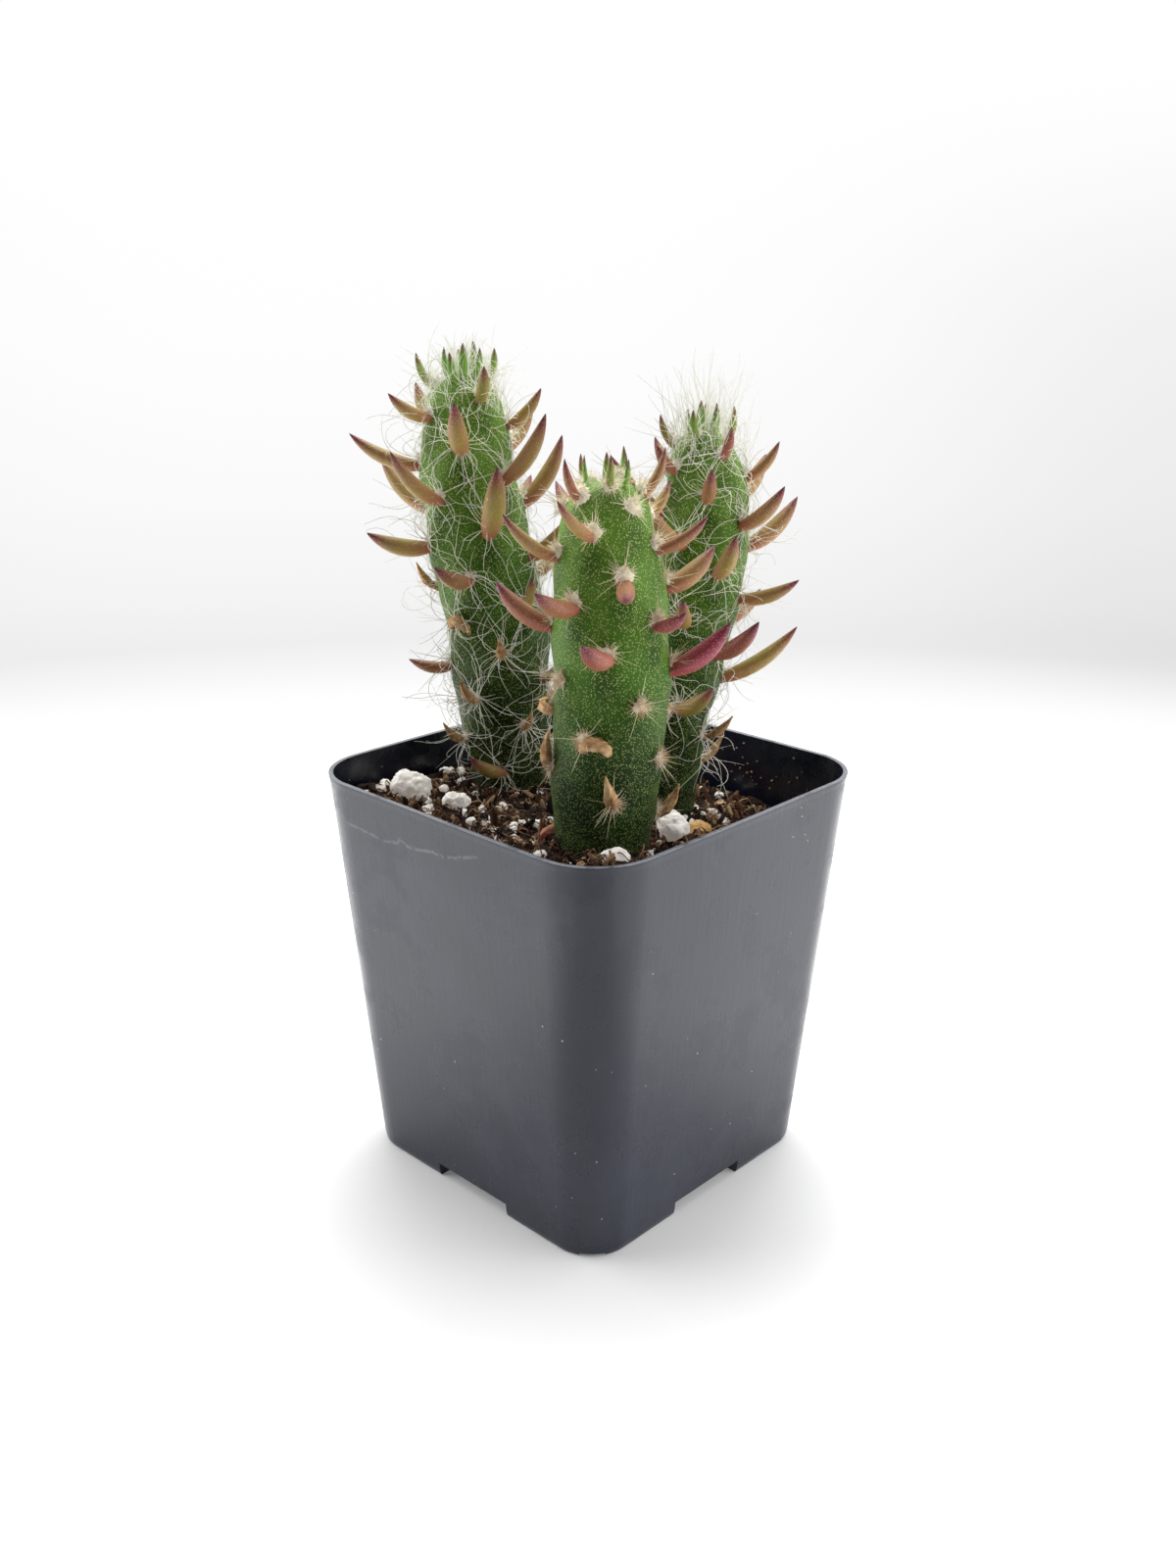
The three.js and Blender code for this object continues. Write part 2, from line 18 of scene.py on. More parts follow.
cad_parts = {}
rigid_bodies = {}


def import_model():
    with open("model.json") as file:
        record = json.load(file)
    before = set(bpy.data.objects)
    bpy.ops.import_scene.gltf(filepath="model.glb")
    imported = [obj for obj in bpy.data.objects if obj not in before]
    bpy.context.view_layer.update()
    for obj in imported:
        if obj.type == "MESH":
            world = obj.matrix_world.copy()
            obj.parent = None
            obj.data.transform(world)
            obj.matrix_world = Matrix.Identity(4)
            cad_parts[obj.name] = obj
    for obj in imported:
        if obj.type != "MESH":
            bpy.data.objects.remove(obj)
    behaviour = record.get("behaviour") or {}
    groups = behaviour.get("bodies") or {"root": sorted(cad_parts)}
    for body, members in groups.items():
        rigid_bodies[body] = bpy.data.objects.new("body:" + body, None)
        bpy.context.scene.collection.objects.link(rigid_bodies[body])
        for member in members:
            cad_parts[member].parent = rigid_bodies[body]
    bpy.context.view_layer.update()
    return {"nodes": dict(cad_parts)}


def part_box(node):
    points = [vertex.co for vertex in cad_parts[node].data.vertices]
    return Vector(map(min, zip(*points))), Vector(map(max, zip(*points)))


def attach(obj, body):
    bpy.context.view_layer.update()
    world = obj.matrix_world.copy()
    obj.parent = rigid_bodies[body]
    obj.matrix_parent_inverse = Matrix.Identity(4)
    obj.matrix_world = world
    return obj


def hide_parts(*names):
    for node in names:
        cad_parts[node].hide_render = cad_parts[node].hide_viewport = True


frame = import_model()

# %% [markdown]
# Blender works in metres here, but the plant is small, so the shapes are worked out in
# millimetres from the middle of the pot and moved into place when a mesh is made. A plant is
# never regular, but this one has to come out the same each time, so chance is a fixed draw.

# %% Places and chance
MM = 0.001
pot_low, pot_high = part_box("pot")
POT_CENTRE = np.array([(pot_low.x + pot_high.x) / 2, (pot_low.y + pot_high.y) / 2, 0.0])
UP = np.array([0.0, 0.0, 1.0])


def placed(points):
    return np.asarray(points, float) * MM + POT_CENTRE


def draw(seed, number):
    """A fixed value between 0 and 1 for each seed and number."""
    return (math.sin(seed * 127.1 + number * 311.7) * 43758.5453) % 1.0


def unit(vectors):
    return vectors / np.linalg.norm(vectors, axis=-1, keepdims=True)


def level_ways(angles):
    """Level directions of length 1, one for each angle."""
    return np.stack([np.cos(angles), np.sin(angles), 0 * angles], 1)


def smoothstep(values, low, high):
    share = np.clip((np.asarray(values, float) - low) / (high - low), 0, 1)
    return share * share * (3 - 2 * share)


print("middle of the pot:", POT_CENTRE)

# %% [markdown]
# Every piece starts as points, edges and faces. Numbers that a finish needs, such as how far
# along its leaf a point lies, are stored on the points as attributes.

# %% Meshes from points
def new_object(name, mesh):
    made = bpy.data.objects.new(name, mesh)
    bpy.context.scene.collection.objects.link(made)
    return made


def store(mesh, label, values):
    """Keeps a number or a direction for every point of a mesh."""
    values = np.asarray(values, np.float32)
    kind, field = ("FLOAT_VECTOR", "vector") if values.ndim > 1 else ("FLOAT", "value")
    mesh.attributes.new(label, kind, "POINT").data.foreach_set(field, values.ravel())


def mesh_piece(name, points, faces=(), edges=(), **attributes):
    mesh = bpy.data.meshes.new(name)
    mesh.from_pydata(placed(points).tolist(), np.asarray(edges, int).tolist(), faces)
    for label, values in attributes.items():
        store(mesh, label, values)
    if len(faces):
        mesh.shade_smooth()
    return new_object(name, mesh)


def ring_faces(rows, columns):
    """Faces between rings that turn anticlockwise, each ring above the last."""
    start = np.arange((rows - 1) * columns)
    beside = start - start % columns + (start + 1) % columns
    return np.stack([start, beside, beside + columns, start + columns], 1).tolist()


def pointed_faces(rows, columns):
    """The faces of a skin over rings, with a flat foot and one more point as its tip."""
    last = (rows - 1) * columns
    tip = [(last + i, last + (i + 1) % columns, last + columns) for i in range(columns)]
    return ring_faces(rows, columns) + tip + [list(range(columns))[::-1]]


def closed_rings(rings):
    """The points and faces of a closed skin over rings, with a flat cap at each end."""
    rows, columns = rings.shape[:2]
    caps = [list(range(columns))[::-1], list(range((rows - 1) * columns, rows * columns))]
    return rings.reshape(-1, 3), ring_faces(rows, columns) + caps


def plain_mesh(name, source):
    """The object with its modifiers worked in, as a new plain object. The old one goes."""
    depsgraph = bpy.context.evaluated_depsgraph_get()
    evaluated = source.evaluated_get(depsgraph)
    mesh = bpy.data.meshes.new_from_object(
        evaluated, preserve_all_data_layers=True, depsgraph=depsgraph
    )
    bpy.data.objects.remove(source)
    return new_object(name, mesh)


# %% [markdown]
# Shader maths reads best as plain expressions. A `Signal` is a node's output that can be added
# and multiplied, and each sum adds its Math node. A `Graph` adds nodes of any kind, and knows the
# ramps, steps and distances that more than one of them needs. The same class serves materials,
# the world and Geometry Nodes.

# %% Expressions that become nodes
class Signal:
    def __init__(self, graph, socket):
        self.graph = graph
        self.socket = socket

    def maths(self, operation, first, second):
        return self.graph.node("ShaderNodeMath", {"operation": operation}, {0: first, 1: second})

    def __add__(self, other):
        return self.maths("ADD", self, other)

    def __radd__(self, other):
        return self.maths("ADD", other, self)

    def __sub__(self, other):
        return self.maths("SUBTRACT", self, other)

    def __rsub__(self, other):
        return self.maths("SUBTRACT", other, self)

    def __mul__(self, other):
        return self.maths("MULTIPLY", self, other)

    def __rmul__(self, other):
        return self.maths("MULTIPLY", other, self)

    def __abs__(self):
        return self.maths("ABSOLUTE", self, 0.0)


class Graph:
    def __init__(self, tree):
        self.tree = tree

    def node(self, kind, settings=None, sockets=None, out=0):
        made = self.tree.nodes.new(kind)
        for label, value in (settings or {}).items():
            if label == "stops":
                self.set_stops(made.color_ramp, value)
            else:
                setattr(made, label, value)
        for label, value in (sockets or {}).items():
            if isinstance(value, Signal):
                self.tree.links.new(value.socket, made.inputs[label])
            else:
                made.inputs[label].default_value = value
        return Signal(self, made.outputs[out])

    def set_stops(self, ramp, stops):
        while len(ramp.elements) < len(stops):
            ramp.elements.new(1.0)
        for element, (position, *values) in zip(ramp.elements, stops):
            element.position = position
            element.color = stop_colour(values)

    def ramp(self, value, *stops):
        return self.node("ShaderNodeValToRGB", {"stops": stops}, {0: value})

    def step(self, value, low, high, first=0.0, last=1.0):
        sockets = {0: value, 1: low, 2: high, 3: first, 4: last}
        return self.node("ShaderNodeMapRange", {"interpolation_type": "SMOOTHSTEP"}, sockets)

    def measured(self, operation, place, other):
        sockets = {0: place, 1: tuple(other)}
        return self.node("ShaderNodeVectorMath", {"operation": operation}, sockets, "Value")


def tint(red, green, blue):
    """A colour by its screen values from 0 to 255, in the linear values that shaders take."""
    linear = [((value / 255 + 0.055) / 1.055) ** 2.4 for value in (red, green, blue)]
    return (*linear, 1.0)


def grey(value):
    return (value, value, value, 1.0)


def stop_colour(values):
    """The colour of a ramp's stop, from three screen values or one linear grey."""
    return tint(*values) if len(values) == 3 else grey(*values)


# %% [markdown]
# A `Finish` is one material. It knows the patterns that this plant needs: soft noise, cells,
# blends of two colours, a faint glow, and relief. The patterns read Object coordinates or an
# attribute, so they stay on the piece from every side.

# %% Finishes
class Finish(Graph):
    def __init__(self, name, **constants):
        self.material = bpy.data.materials.new(name)
        self.material.use_nodes = True
        super().__init__(self.material.node_tree)
        self.surface = self.tree.nodes["Principled BSDF"]
        for label, value in constants.items():
            self.surface.inputs[label.replace("_", " ")].default_value = value
        self.place = self.node("ShaderNodeTexCoord", out="Object")

    def stretched(self, x, y, z):
        sockets = {0: self.place, 1: (x, y, z)}
        return self.node("ShaderNodeVectorMath", {"operation": "MULTIPLY"}, sockets)

    def along(self, axis):
        return self.node("ShaderNodeSeparateXYZ", None, {0: self.place}, axis)

    def noise(self, scale, detail=3.0, rough=0.5, where=None):
        sockets = {"Vector": where or self.place, "Scale": scale, "Detail": detail}
        return self.node("ShaderNodeTexNoise", None, {**sockets, "Roughness": rough})

    def cells(self, scale):
        sockets = {"Vector": self.place, "Scale": scale}
        return self.node("ShaderNodeTexVoronoi", None, sockets, "Distance")

    def blend(self, share, first, second):
        sockets = {0: share, 6: first, 7: second}
        return self.node("ShaderNodeMix", {"data_type": "RGBA"}, sockets, 2)

    def attribute(self, name):
        return self.node("ShaderNodeAttribute", {"attribute_name": name}, out="Fac")

    def feed(self, label, signal):
        self.tree.links.new(signal.socket, self.surface.inputs[label])

    def glow(self, colour, strength):
        self.surface.inputs["Emission Color"].default_value = colour
        self.surface.inputs["Emission Strength"].default_value = strength

    def relief(self, height, depth_mm):
        bump = self.node("ShaderNodeBump", None, {"Distance": depth_mm * MM, "Height": height})
        self.feed("Normal", bump)


def hand_over(piece, finish, slot, *nodes):
    """Gives a finished piece its finish and its place among the parts."""
    piece.data.materials.clear()
    piece.data.materials.append(finish.material)
    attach(piece, "root")
    if nodes:
        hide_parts(*nodes)
    triangles = sum(len(face.vertices) - 2 for face in piece.data.polygons)
    print(piece.name, triangles, "triangles")


# %% [markdown]
# ## Camera
#
# A pinhole camera was fitted to the pot's rim and foot in the photo. It stands nearly 45 degrees
# off the pot's sides and looks down a little, so one corner of the pot points at it.

# %% Camera
AZIMUTH, ELEVATION, ROLL = math.radians(43.568), math.radians(19.554), math.radians(0.308)
LENS = 33.307
EYE = (151.033, -159.010, 142.056)

back = np.array(
    [
        math.sin(AZIMUTH) * math.cos(ELEVATION),
        -math.cos(AZIMUTH) * math.cos(ELEVATION),
        math.sin(ELEVATION),
    ]
)
level = np.array([math.cos(AZIMUTH), math.sin(AZIMUTH), 0.0])
raised = np.cross(back, level)
right = math.cos(ROLL) * level + math.sin(ROLL) * raised
upward = math.cos(ROLL) * raised - math.sin(ROLL) * level

camera = bpy.data.objects.new("camera", bpy.data.cameras.new("camera"))
bpy.context.scene.collection.objects.link(camera)
camera.data.lens = LENS
camera.data.clip_start, camera.data.clip_end = 0.01, 20.0
turned = Matrix([right, upward, back]).transposed().to_4x4()
camera.matrix_world = Matrix.Translation(Vector(placed(EYE))) @ turned
bpy.context.scene.camera = camera

# %% [markdown]
# ## Floor and light
#
# The photograph was taken in a white light tent: bright all round, dark towards the viewer, where
# the tent is open. So the world's brightness depends on the direction, and three soft boxes help.
# The pot stands on a round sheet of white paper that fades out at its edge. The paper's glow is
# painted light: faint in a strip that runs along the view, and bright to either side of it. The
# sides of the pot mirror that painted glow, and its front corner stays dark. What the camera sees
# past the paper is the tent's back wall: white, with a faint grey band of painted shade where a
# fold would be, and painted shade towards both sides. It is drawn by direction too, because it
# lights nothing.

# %% Floor and tent
VIEW_TURN = math.radians(-46.43)
TOWARDS_VIEWER = np.array([math.cos(VIEW_TURN), math.sin(VIEW_TURN), 0.0])
ACROSS_VIEW = np.array([-TOWARDS_VIEWER[1], TOWARDS_VIEWER[0], 0.0])
PAPER_RADIUS, PAPER_EDGE, PAPER_SIDES = 262.0, 60.0, 96

paper_finish = Finish("white_paper", Roughness=0.9, Specular_IOR_Level=0.1)
speck = paper_finish.noise(90.0)
paper_finish.feed("Base Color", paper_finish.blend(speck, grey(0.81), grey(0.83)))
# The paper's emission is painted light: faint in a strip that runs along the view, bright to either
# side.
UNLIT_WIDTH, LIT_WIDTH = 18.0, 78.0
FAINT_GLOW, SIDE_GLOW = 0.13, 0.7
beside = paper_finish.measured("DOT_PRODUCT", paper_finish.place, ACROSS_VIEW)
painted_glow_share = paper_finish.step(beside * beside, (UNLIT_WIDTH * MM) ** 2, (LIT_WIDTH * MM) ** 2)
paper_finish.feed("Emission Color", paper_finish.blend(painted_glow_share, grey(FAINT_GLOW), grey(SIDE_GLOW)))
paper_finish.surface.inputs["Emission Strength"].default_value = 1.0
away = paper_finish.measured("DISTANCE", paper_finish.place, POT_CENTRE)
rim_start = (PAPER_RADIUS - PAPER_EDGE) * MM
paper_finish.feed("Alpha", paper_finish.step(away, PAPER_RADIUS * MM, rim_start))
turning = np.linspace(0, 2 * math.pi, PAPER_SIDES, endpoint=False)
outline = PAPER_RADIUS * level_ways(turning)
paper = mesh_piece("white_paper", outline, [list(range(PAPER_SIDES))])
paper.data.materials.append(paper_finish.material)

world = bpy.data.worlds.new("tent")
world.use_nodes = True
bpy.context.scene.world = world
tent = Graph(world.node_tree)
direction = tent.node("ShaderNodeTexCoord", out="Generated")


def part_of_direction(way):
    return tent.measured("DOT_PRODUCT", direction, way)


SIDE_LIGHT, OPEN_FRONT, BACK_SHADE = 1.7, 0.02, 1.05
facing = part_of_direction(TOWARDS_VIEWER)
tent_light = tent.step(facing, -0.12, 0.3, SIDE_LIGHT, OPEN_FRONT)
tent_light = tent_light - tent.step(facing, -0.25, -0.8, 0.0, BACK_SHADE)
rise = part_of_direction(UP)
# For the camera only, the back wall is painted: a grey band of painted shade for a fold, and
# painted shade towards both sides.
FOLD_LOW, FOLD_SPAN = -0.3, 0.45
painted_fold_stops = [(0.05, 1.0), (0.066, 0.985), (0.094, 0.93), (0.138, 0.86), (0.21, 0.905)]
painted_fold_stops += [(0.353, 0.956), (0.564, 0.99), (0.764, 1.0)]
painted_fold_shade = tent.ramp((rise - FOLD_LOW) * (1 / FOLD_SPAN), *painted_fold_stops)
DIM_SHIFT, DIM_DEPTH = 0.12, 0.12
aside = part_of_direction(ACROSS_VIEW) + DIM_SHIFT
painted_side_shade = tent.step(aside * aside, 0.0, 0.25) * tent.step(rise, 0.13, -0.05)
painted_side_shade = painted_side_shade * tent.step(rise, -0.27, -0.22)
seen = tent.node("ShaderNodeLightPath", out="Is Camera Ray")
strength = tent_light + seen * (painted_fold_shade - painted_side_shade * DIM_DEPTH - tent_light)
shown = world.node_tree.nodes["Background"]
shown.inputs["Color"].default_value = grey(1.0)
world.node_tree.links.new(strength.socket, shown.inputs["Strength"])


def soft_box(name, place, size, watts):
    light = bpy.data.lights.new(name, "AREA")
    light.shape = "RECTANGLE"
    light.size, light.size_y = size
    light.energy = watts
    made = new_object(name, light)
    made.location = placed(place)
    aim = Vector(placed((0, 0, 70))) - made.location
    made.rotation_euler = aim.to_track_quat("-Z", "Y").to_euler()


soft_box("overhead", (-170, 200, 520), (0.5, 0.5), 2.7)
soft_box("left_box", (-480, -330, 230), (0.5, 0.6), 2.1)
soft_box("right_box", (520, 180, 230), (0.5, 0.6), 2.1)
bpy.context.scene.view_settings.view_transform = "Standard"

# %% [markdown]
# ## Pot
#
# The pot is one sheet of thin black plastic, drawn into a tapering square tray. It is made like
# its mould: a solid outside, less the space inside, less the cross-shaped channel under the
# floor, the drain holes and a small slit in each corner foot. A loft gives smooth corners and a
# rounded rim, and Boolean modifiers make the cuts. Real ones are never quite true, so the rim
# waves by up to a sixth of a millimetre. The corners follow the photo, and are rounder than the
# plain part's.

# %% The pot's outline
POT_HEIGHT = 66.9
POT_TOP = 64.5
POT_BASE = 53.7
POT_WALL = 0.7
POT_FLOOR = 1.1
TOP_CORNER, BASE_CORNER = 10.5, 7.2
FOOT_ROUNDING, FOOT_TUCK = 1.4, 0.35
CHANNEL_WIDTH, CHANNEL_HEIGHT = 16.0, 2.4
DRAIN_RADIUS, DRAIN_OFFSET = 3.0, 15.0
SLIT_WIDTH, SLIT_HEIGHT, SLIT_LENGTH = 4.0, 0.5, 6.0
CORNER_STEPS, ALONG = 14, 25


def square_ring(half, radius, height):
    bend = np.radians(np.linspace(0, 90, CORNER_STEPS + 1))
    straight = half - radius
    corner = np.stack([straight + radius * np.cos(bend), straight + radius * np.sin(bend)], 1)
    share = np.arange(1, ALONG + 1) / (ALONG + 1)
    side = np.stack([straight * (1 - 2 * share), np.full(ALONG, half)], 1)
    quarter = np.concatenate([corner, side])
    turn = np.array([[0, 1], [-1, 0]])
    flat = np.concatenate([quarter @ np.linalg.matrix_power(turn, count) for count in range(4)])
    return np.column_stack([flat, np.full(len(flat), height)])


def pot_ring(height, inset=0.0, floor_height=0.0):
    share = min(height, POT_HEIGHT) / POT_HEIGHT
    half = (POT_BASE + (POT_TOP - POT_BASE) * share) / 2
    corner = BASE_CORNER + (TOP_CORNER - BASE_CORNER) * share
    low = 1 - min(max((height - floor_height) / FOOT_ROUNDING, 0), 1)
    tuck = FOOT_TUCK * (1 - math.sqrt(1 - low**2))
    ring = square_ring(half - inset - tuck, corner - inset - tuck, height)
    around = np.arctan2(ring[:, 1], ring[:, 0])
    wave = 0.1 * np.sin(2 * around + 0.6) + 0.07 * np.sin(5 * around + 2)
    ring[:, :2] += unit(ring[:, :2]) * (share**2 * wave)[:, None]
    return ring


def bar(half_x, half_y, low, high):
    """A square bar, used only to cut with."""
    outline = np.array([(half_x, half_y), (-half_x, half_y), (-half_x, -half_y), (half_x, -half_y)])
    rings = np.array([np.column_stack([outline, np.full(4, z)]) for z in (low, high)])
    return mesh_piece("bar", *closed_rings(rings))


def carve(piece, cutter):
    name = piece.name
    cut = piece.modifiers.new("cut", "BOOLEAN")
    cut.operation, cut.solver, cut.object = "DIFFERENCE", "EXACT", cutter
    made = plain_mesh(name + "_cut", piece)
    bpy.data.objects.remove(cutter)
    return made


# %% The pot's body
foot = FOOT_ROUNDING * (1 - np.cos(np.linspace(0, math.pi / 2, 6)))
lip = [(65.9, -0.01), (66.3, -0.06), (66.7, -0.08), (66.84, -0.05), (66.9, 0.05)]
walls = np.linspace(FOOT_ROUNDING + 2, 65.55, 26)
outside = [pot_ring(z) for z in (*foot, *walls)] + [pot_ring(z, inset) for z, inset in lip]
pot = mesh_piece("pot_body", *closed_rings(np.array(outside)))

inner = [pot_ring(POT_FLOOR + z, POT_WALL, POT_FLOOR) for z in foot]
inner += [pot_ring(z, POT_WALL, POT_FLOOR) for z in (*(walls + POT_FLOOR)[:-1], 66.5)]
mouth = [(66.82, 0.68), (66.88, 0.62), (66.9, 0.54), (68.0, 0.54)]
inner += [pot_ring(z, inset) for z, inset in mouth]
cavity = mesh_piece("cavity", *closed_rings(np.array(inner)))

REACH = POT_TOP
ridge, ridge_top = CHANNEL_WIDTH / 2 + POT_FLOOR, CHANNEL_HEIGHT + POT_FLOOR
for half_x, half_y in ((REACH, ridge), (ridge, REACH)):
    cavity = carve(cavity, bar(half_x, half_y, -1, ridge_top))
pot = carve(pot, cavity)
channel = CHANNEL_WIDTH / 2
for half_x, half_y in ((REACH, channel), (channel, REACH)):
    pot = carve(pot, bar(half_x, half_y, -2, CHANNEL_HEIGHT))

# %% Drain holes and slits
turning = np.linspace(0, 2 * math.pi, 32, endpoint=False)
for x, y in ((0, 0), (DRAIN_OFFSET, 0), (-DRAIN_OFFSET, 0), (0, DRAIN_OFFSET), (0, -DRAIN_OFFSET)):
    ring = np.stack([x + DRAIN_RADIUS * np.cos(turning), y + DRAIN_RADIUS * np.sin(turning)], 1)
    rings = np.array([np.column_stack([ring, np.full(32, z)]) for z in (-1.0, 8.0)])
    pot = carve(pot, mesh_piece("drill", *closed_rings(rings)))
slit_reach = (POT_BASE / 2 - BASE_CORNER) * math.sqrt(2) + BASE_CORNER
middle = Matrix.Translation(Vector(placed((0, 0, 0))))
outwards = Matrix.Translation((slit_reach * MM, 0, 0))
for corner in range(4):
    slit = bar(SLIT_LENGTH / 2, SLIT_WIDTH / 2, -1, SLIT_HEIGHT)
    turn = Matrix.Rotation(math.radians(45 + 90 * corner), 4, "Z")
    slit.data.transform(middle @ turn @ outwards @ middle.inverted())
    pot = carve(pot, slit)
pot.name = "pot_shell"
pot.data.shade_smooth()
pot.data.set_sharp_from_angle(angle=math.radians(32))

# %% [markdown]
# Black plastic is never one black. Faint upright streaks come from the mould, dust dulls it in
# patches, and a few specks and hairline scratches catch the light. Splashed water has dried to a
# wavy pale line just under the rim of the side that faces left.

# %% Black plastic
plastic = Finish("black_plastic", IOR=1.5, Specular_IOR_Level=0.52)
streaks = plastic.noise(240.0, 4.0, 0.6, plastic.stretched(1.0, 1.0, 0.08))
clouds = plastic.noise(38.0, 4.0, 0.6)
dust = plastic.step(clouds, 0.42, 0.75)
body_tone = plastic.blend(streaks, tint(16, 21, 38), tint(24, 30, 49))
dusty = plastic.blend(dust * 0.35, body_tone, tint(66, 70, 84))
fleck = plastic.step(plastic.cells(420.0), 0.075, 0.03)
sparse = plastic.step(plastic.noise(60.0, 2.0), 0.52, 0.6)
flecked = plastic.blend(fleck * sparse, dusty, tint(176, 178, 180))

tide_stops = [(0.0, 0.3), (0.2, 0.26), (0.28, 0.23), (0.37, 0.3), (0.41, 0.42), (0.45, 0.33)]
tide_stops += [(0.53, 0.34), (0.62, 0.45), (0.71, 0.44), (0.78, 0.52), (0.86, 0.66), (1.0, 0.85)]
TIDE_LEFT, TIDE_SPAN = 0.022, 0.0324
TIDE_LOW, TIDE_RANGE, TIDE_RIPPLE = 0.0583, 0.0065, 0.0006
LINE_CORE, LINE_EDGE = 0.00008, 0.00042
share_x = (plastic.along(0) - (POT_CENTRE[0] - TIDE_LEFT)) * (1 / TIDE_SPAN)
tide = plastic.ramp(share_x, *tide_stops)
ripple = plastic.noise(900.0, 2.0) * TIDE_RIPPLE - TIDE_RIPPLE / 2
off_line = abs(plastic.along(2) - (tide * TIDE_RANGE + TIDE_LOW + ripple))
line = plastic.step(off_line, LINE_EDGE, LINE_CORE)
front_left = plastic.step(plastic.along(1), POT_CENTRE[1] - 0.0295, POT_CENTRE[1] - 0.0302)
span = plastic.step(share_x, -0.02, 0.04) * plastic.step(share_x, 1.0, 0.85)
broken = plastic.step(plastic.noise(600.0, 3.0), 0.38, 0.56)
mark = line * front_left * span * broken
marked = plastic.blend(mark * 0.4, flecked, tint(150, 152, 158))
# The rim's top face is painted lighter grey, broken up by the streaks: a painted highlight where
# light falls on the top edge.
RIM_HIGHLIGHT_START, RIM_HIGHLIGHT_FULL = 0.0667, 0.06688
rim_top_highlight = plastic.step(plastic.along(2), RIM_HIGHLIGHT_START, RIM_HIGHLIGHT_FULL) * plastic.step(streaks, 0.2, 0.5)
plastic.feed("Base Color", plastic.blend(rim_top_highlight * 0.48, marked, tint(172, 176, 184)))
smears = plastic.step(plastic.noise(110.0, 5.0, 0.65), 0.5, 0.62)
plastic.feed("Roughness", 0.21 + dust * 0.12 + smears * 0.12 + mark * 0.3)
scratches = plastic.noise(1500.0, 2.0, 0.5, plastic.stretched(1.0, 1.0, 0.05))
plastic.relief(scratches * 0.4 + clouds, 0.05)
hand_over(pot, plastic, "pot_plastic", "pot")

# %% [markdown]
# ## Growing things with Geometry Nodes
#
# Leaves, wool, hairs, fibres and crumbs are each one small shape, repeated by a rule. Three short
# trees do all of it. The first sets a shape on every point of a mesh, turned and sized by the
# point's own attributes, and bows it. The second gives every line of a mesh a thin round body.
# The third scatters shapes over a surface. Each has named inputs, and ends in Realize Instances
# and Set Material, because an instance would be lost when the model is exported.

# %% A tree with named inputs
class Growth(Graph):
    def __init__(self, name, **inputs):
        super().__init__(bpy.data.node_groups.new(name, "GeometryNodeTree"))
        sockets = self.tree.interface
        sockets.new_socket("Geometry", in_out="OUTPUT", socket_type="NodeSocketGeometry")
        sockets.new_socket("Geometry", in_out="INPUT", socket_type="NodeSocketGeometry")
        for label, kind in {**inputs, "Finish": "Material"}.items():
            sockets.new_socket(label, in_out="INPUT", socket_type="NodeSocket" + kind)
        self.inlet = self.tree.nodes.new("NodeGroupInput")

    def given(self, label):
        return Signal(self, self.inlet.outputs[label])

    def named(self, label, kind="FLOAT"):
        return self.node("GeometryNodeInputNamedAttribute", {"data_type": kind}, {0: label})

    def end(self, shape):
        whole = self.node("GeometryNodeRealizeInstances", None, {0: shape})
        sockets = {0: whole, 2: self.given("Finish")}
        made = self.node("GeometryNodeSetMaterial", None, sockets)
        outlet = self.tree.nodes.new("NodeGroupOutput")
        self.tree.links.new(made.socket, outlet.inputs[0])

    def grow(self, name, base, **values):
        """Runs the tree on a base mesh, and gives the result as a plain object."""
        modifier = base.modifiers.new(name, "NODES")
        modifier.node_group = self.tree
        for item in self.tree.interface.items_tree:
            if item.in_out == "INPUT" and item.name in values:
                modifier[item.identifier] = values[item.name]
        return plain_mesh(name, base)


# %% The three trees
set_shapes = Growth("set_shapes_on_points", Shape="Object")
axes = {"primary_axis": "Z", "secondary_axis": "Y"}
face = set_shapes.named("face", "FLOAT_VECTOR")
heading = {0: set_shapes.named("heading", "FLOAT_VECTOR"), 1: face}
turn = set_shapes.node("FunctionNodeAxesToRotation", axes, heading)
shape = set_shapes.node("GeometryNodeObjectInfo", None, {0: set_shapes.given("Shape")}, "Geometry")
size = set_shapes.named("size", "FLOAT_VECTOR")
sockets = {0: set_shapes.given("Geometry"), 2: shape, 5: turn, 6: size}
copies = set_shapes.node("GeometryNodeInstanceOnPoints", None, sockets)
whole = set_shapes.node("GeometryNodeRealizeInstances", None, {0: copies})
length_share = set_shapes.named("along")
sag = set_shapes.named("bow") * (length_share * length_share - length_share)
offset = set_shapes.node("ShaderNodeVectorMath", {"operation": "SCALE"}, {0: face, 3: sag})
set_shapes.end(set_shapes.node("GeometryNodeSetPosition", None, {0: whole, 3: offset}))

thicken = Growth("thicken_lines", Thickness="Float", Sides="Int")
curve = thicken.node("GeometryNodeMeshToCurve", None, {0: thicken.given("Geometry")})
round_profile = {0: thicken.given("Sides"), 4: 0.5}
profile = thicken.node("GeometryNodeCurvePrimitiveCircle", None, round_profile)
girth = thicken.named("girth") * thicken.given("Thickness")
sockets = {0: curve, 1: profile, 2: girth, 3: True}
thicken.end(thicken.node("GeometryNodeCurveToMesh", None, sockets))

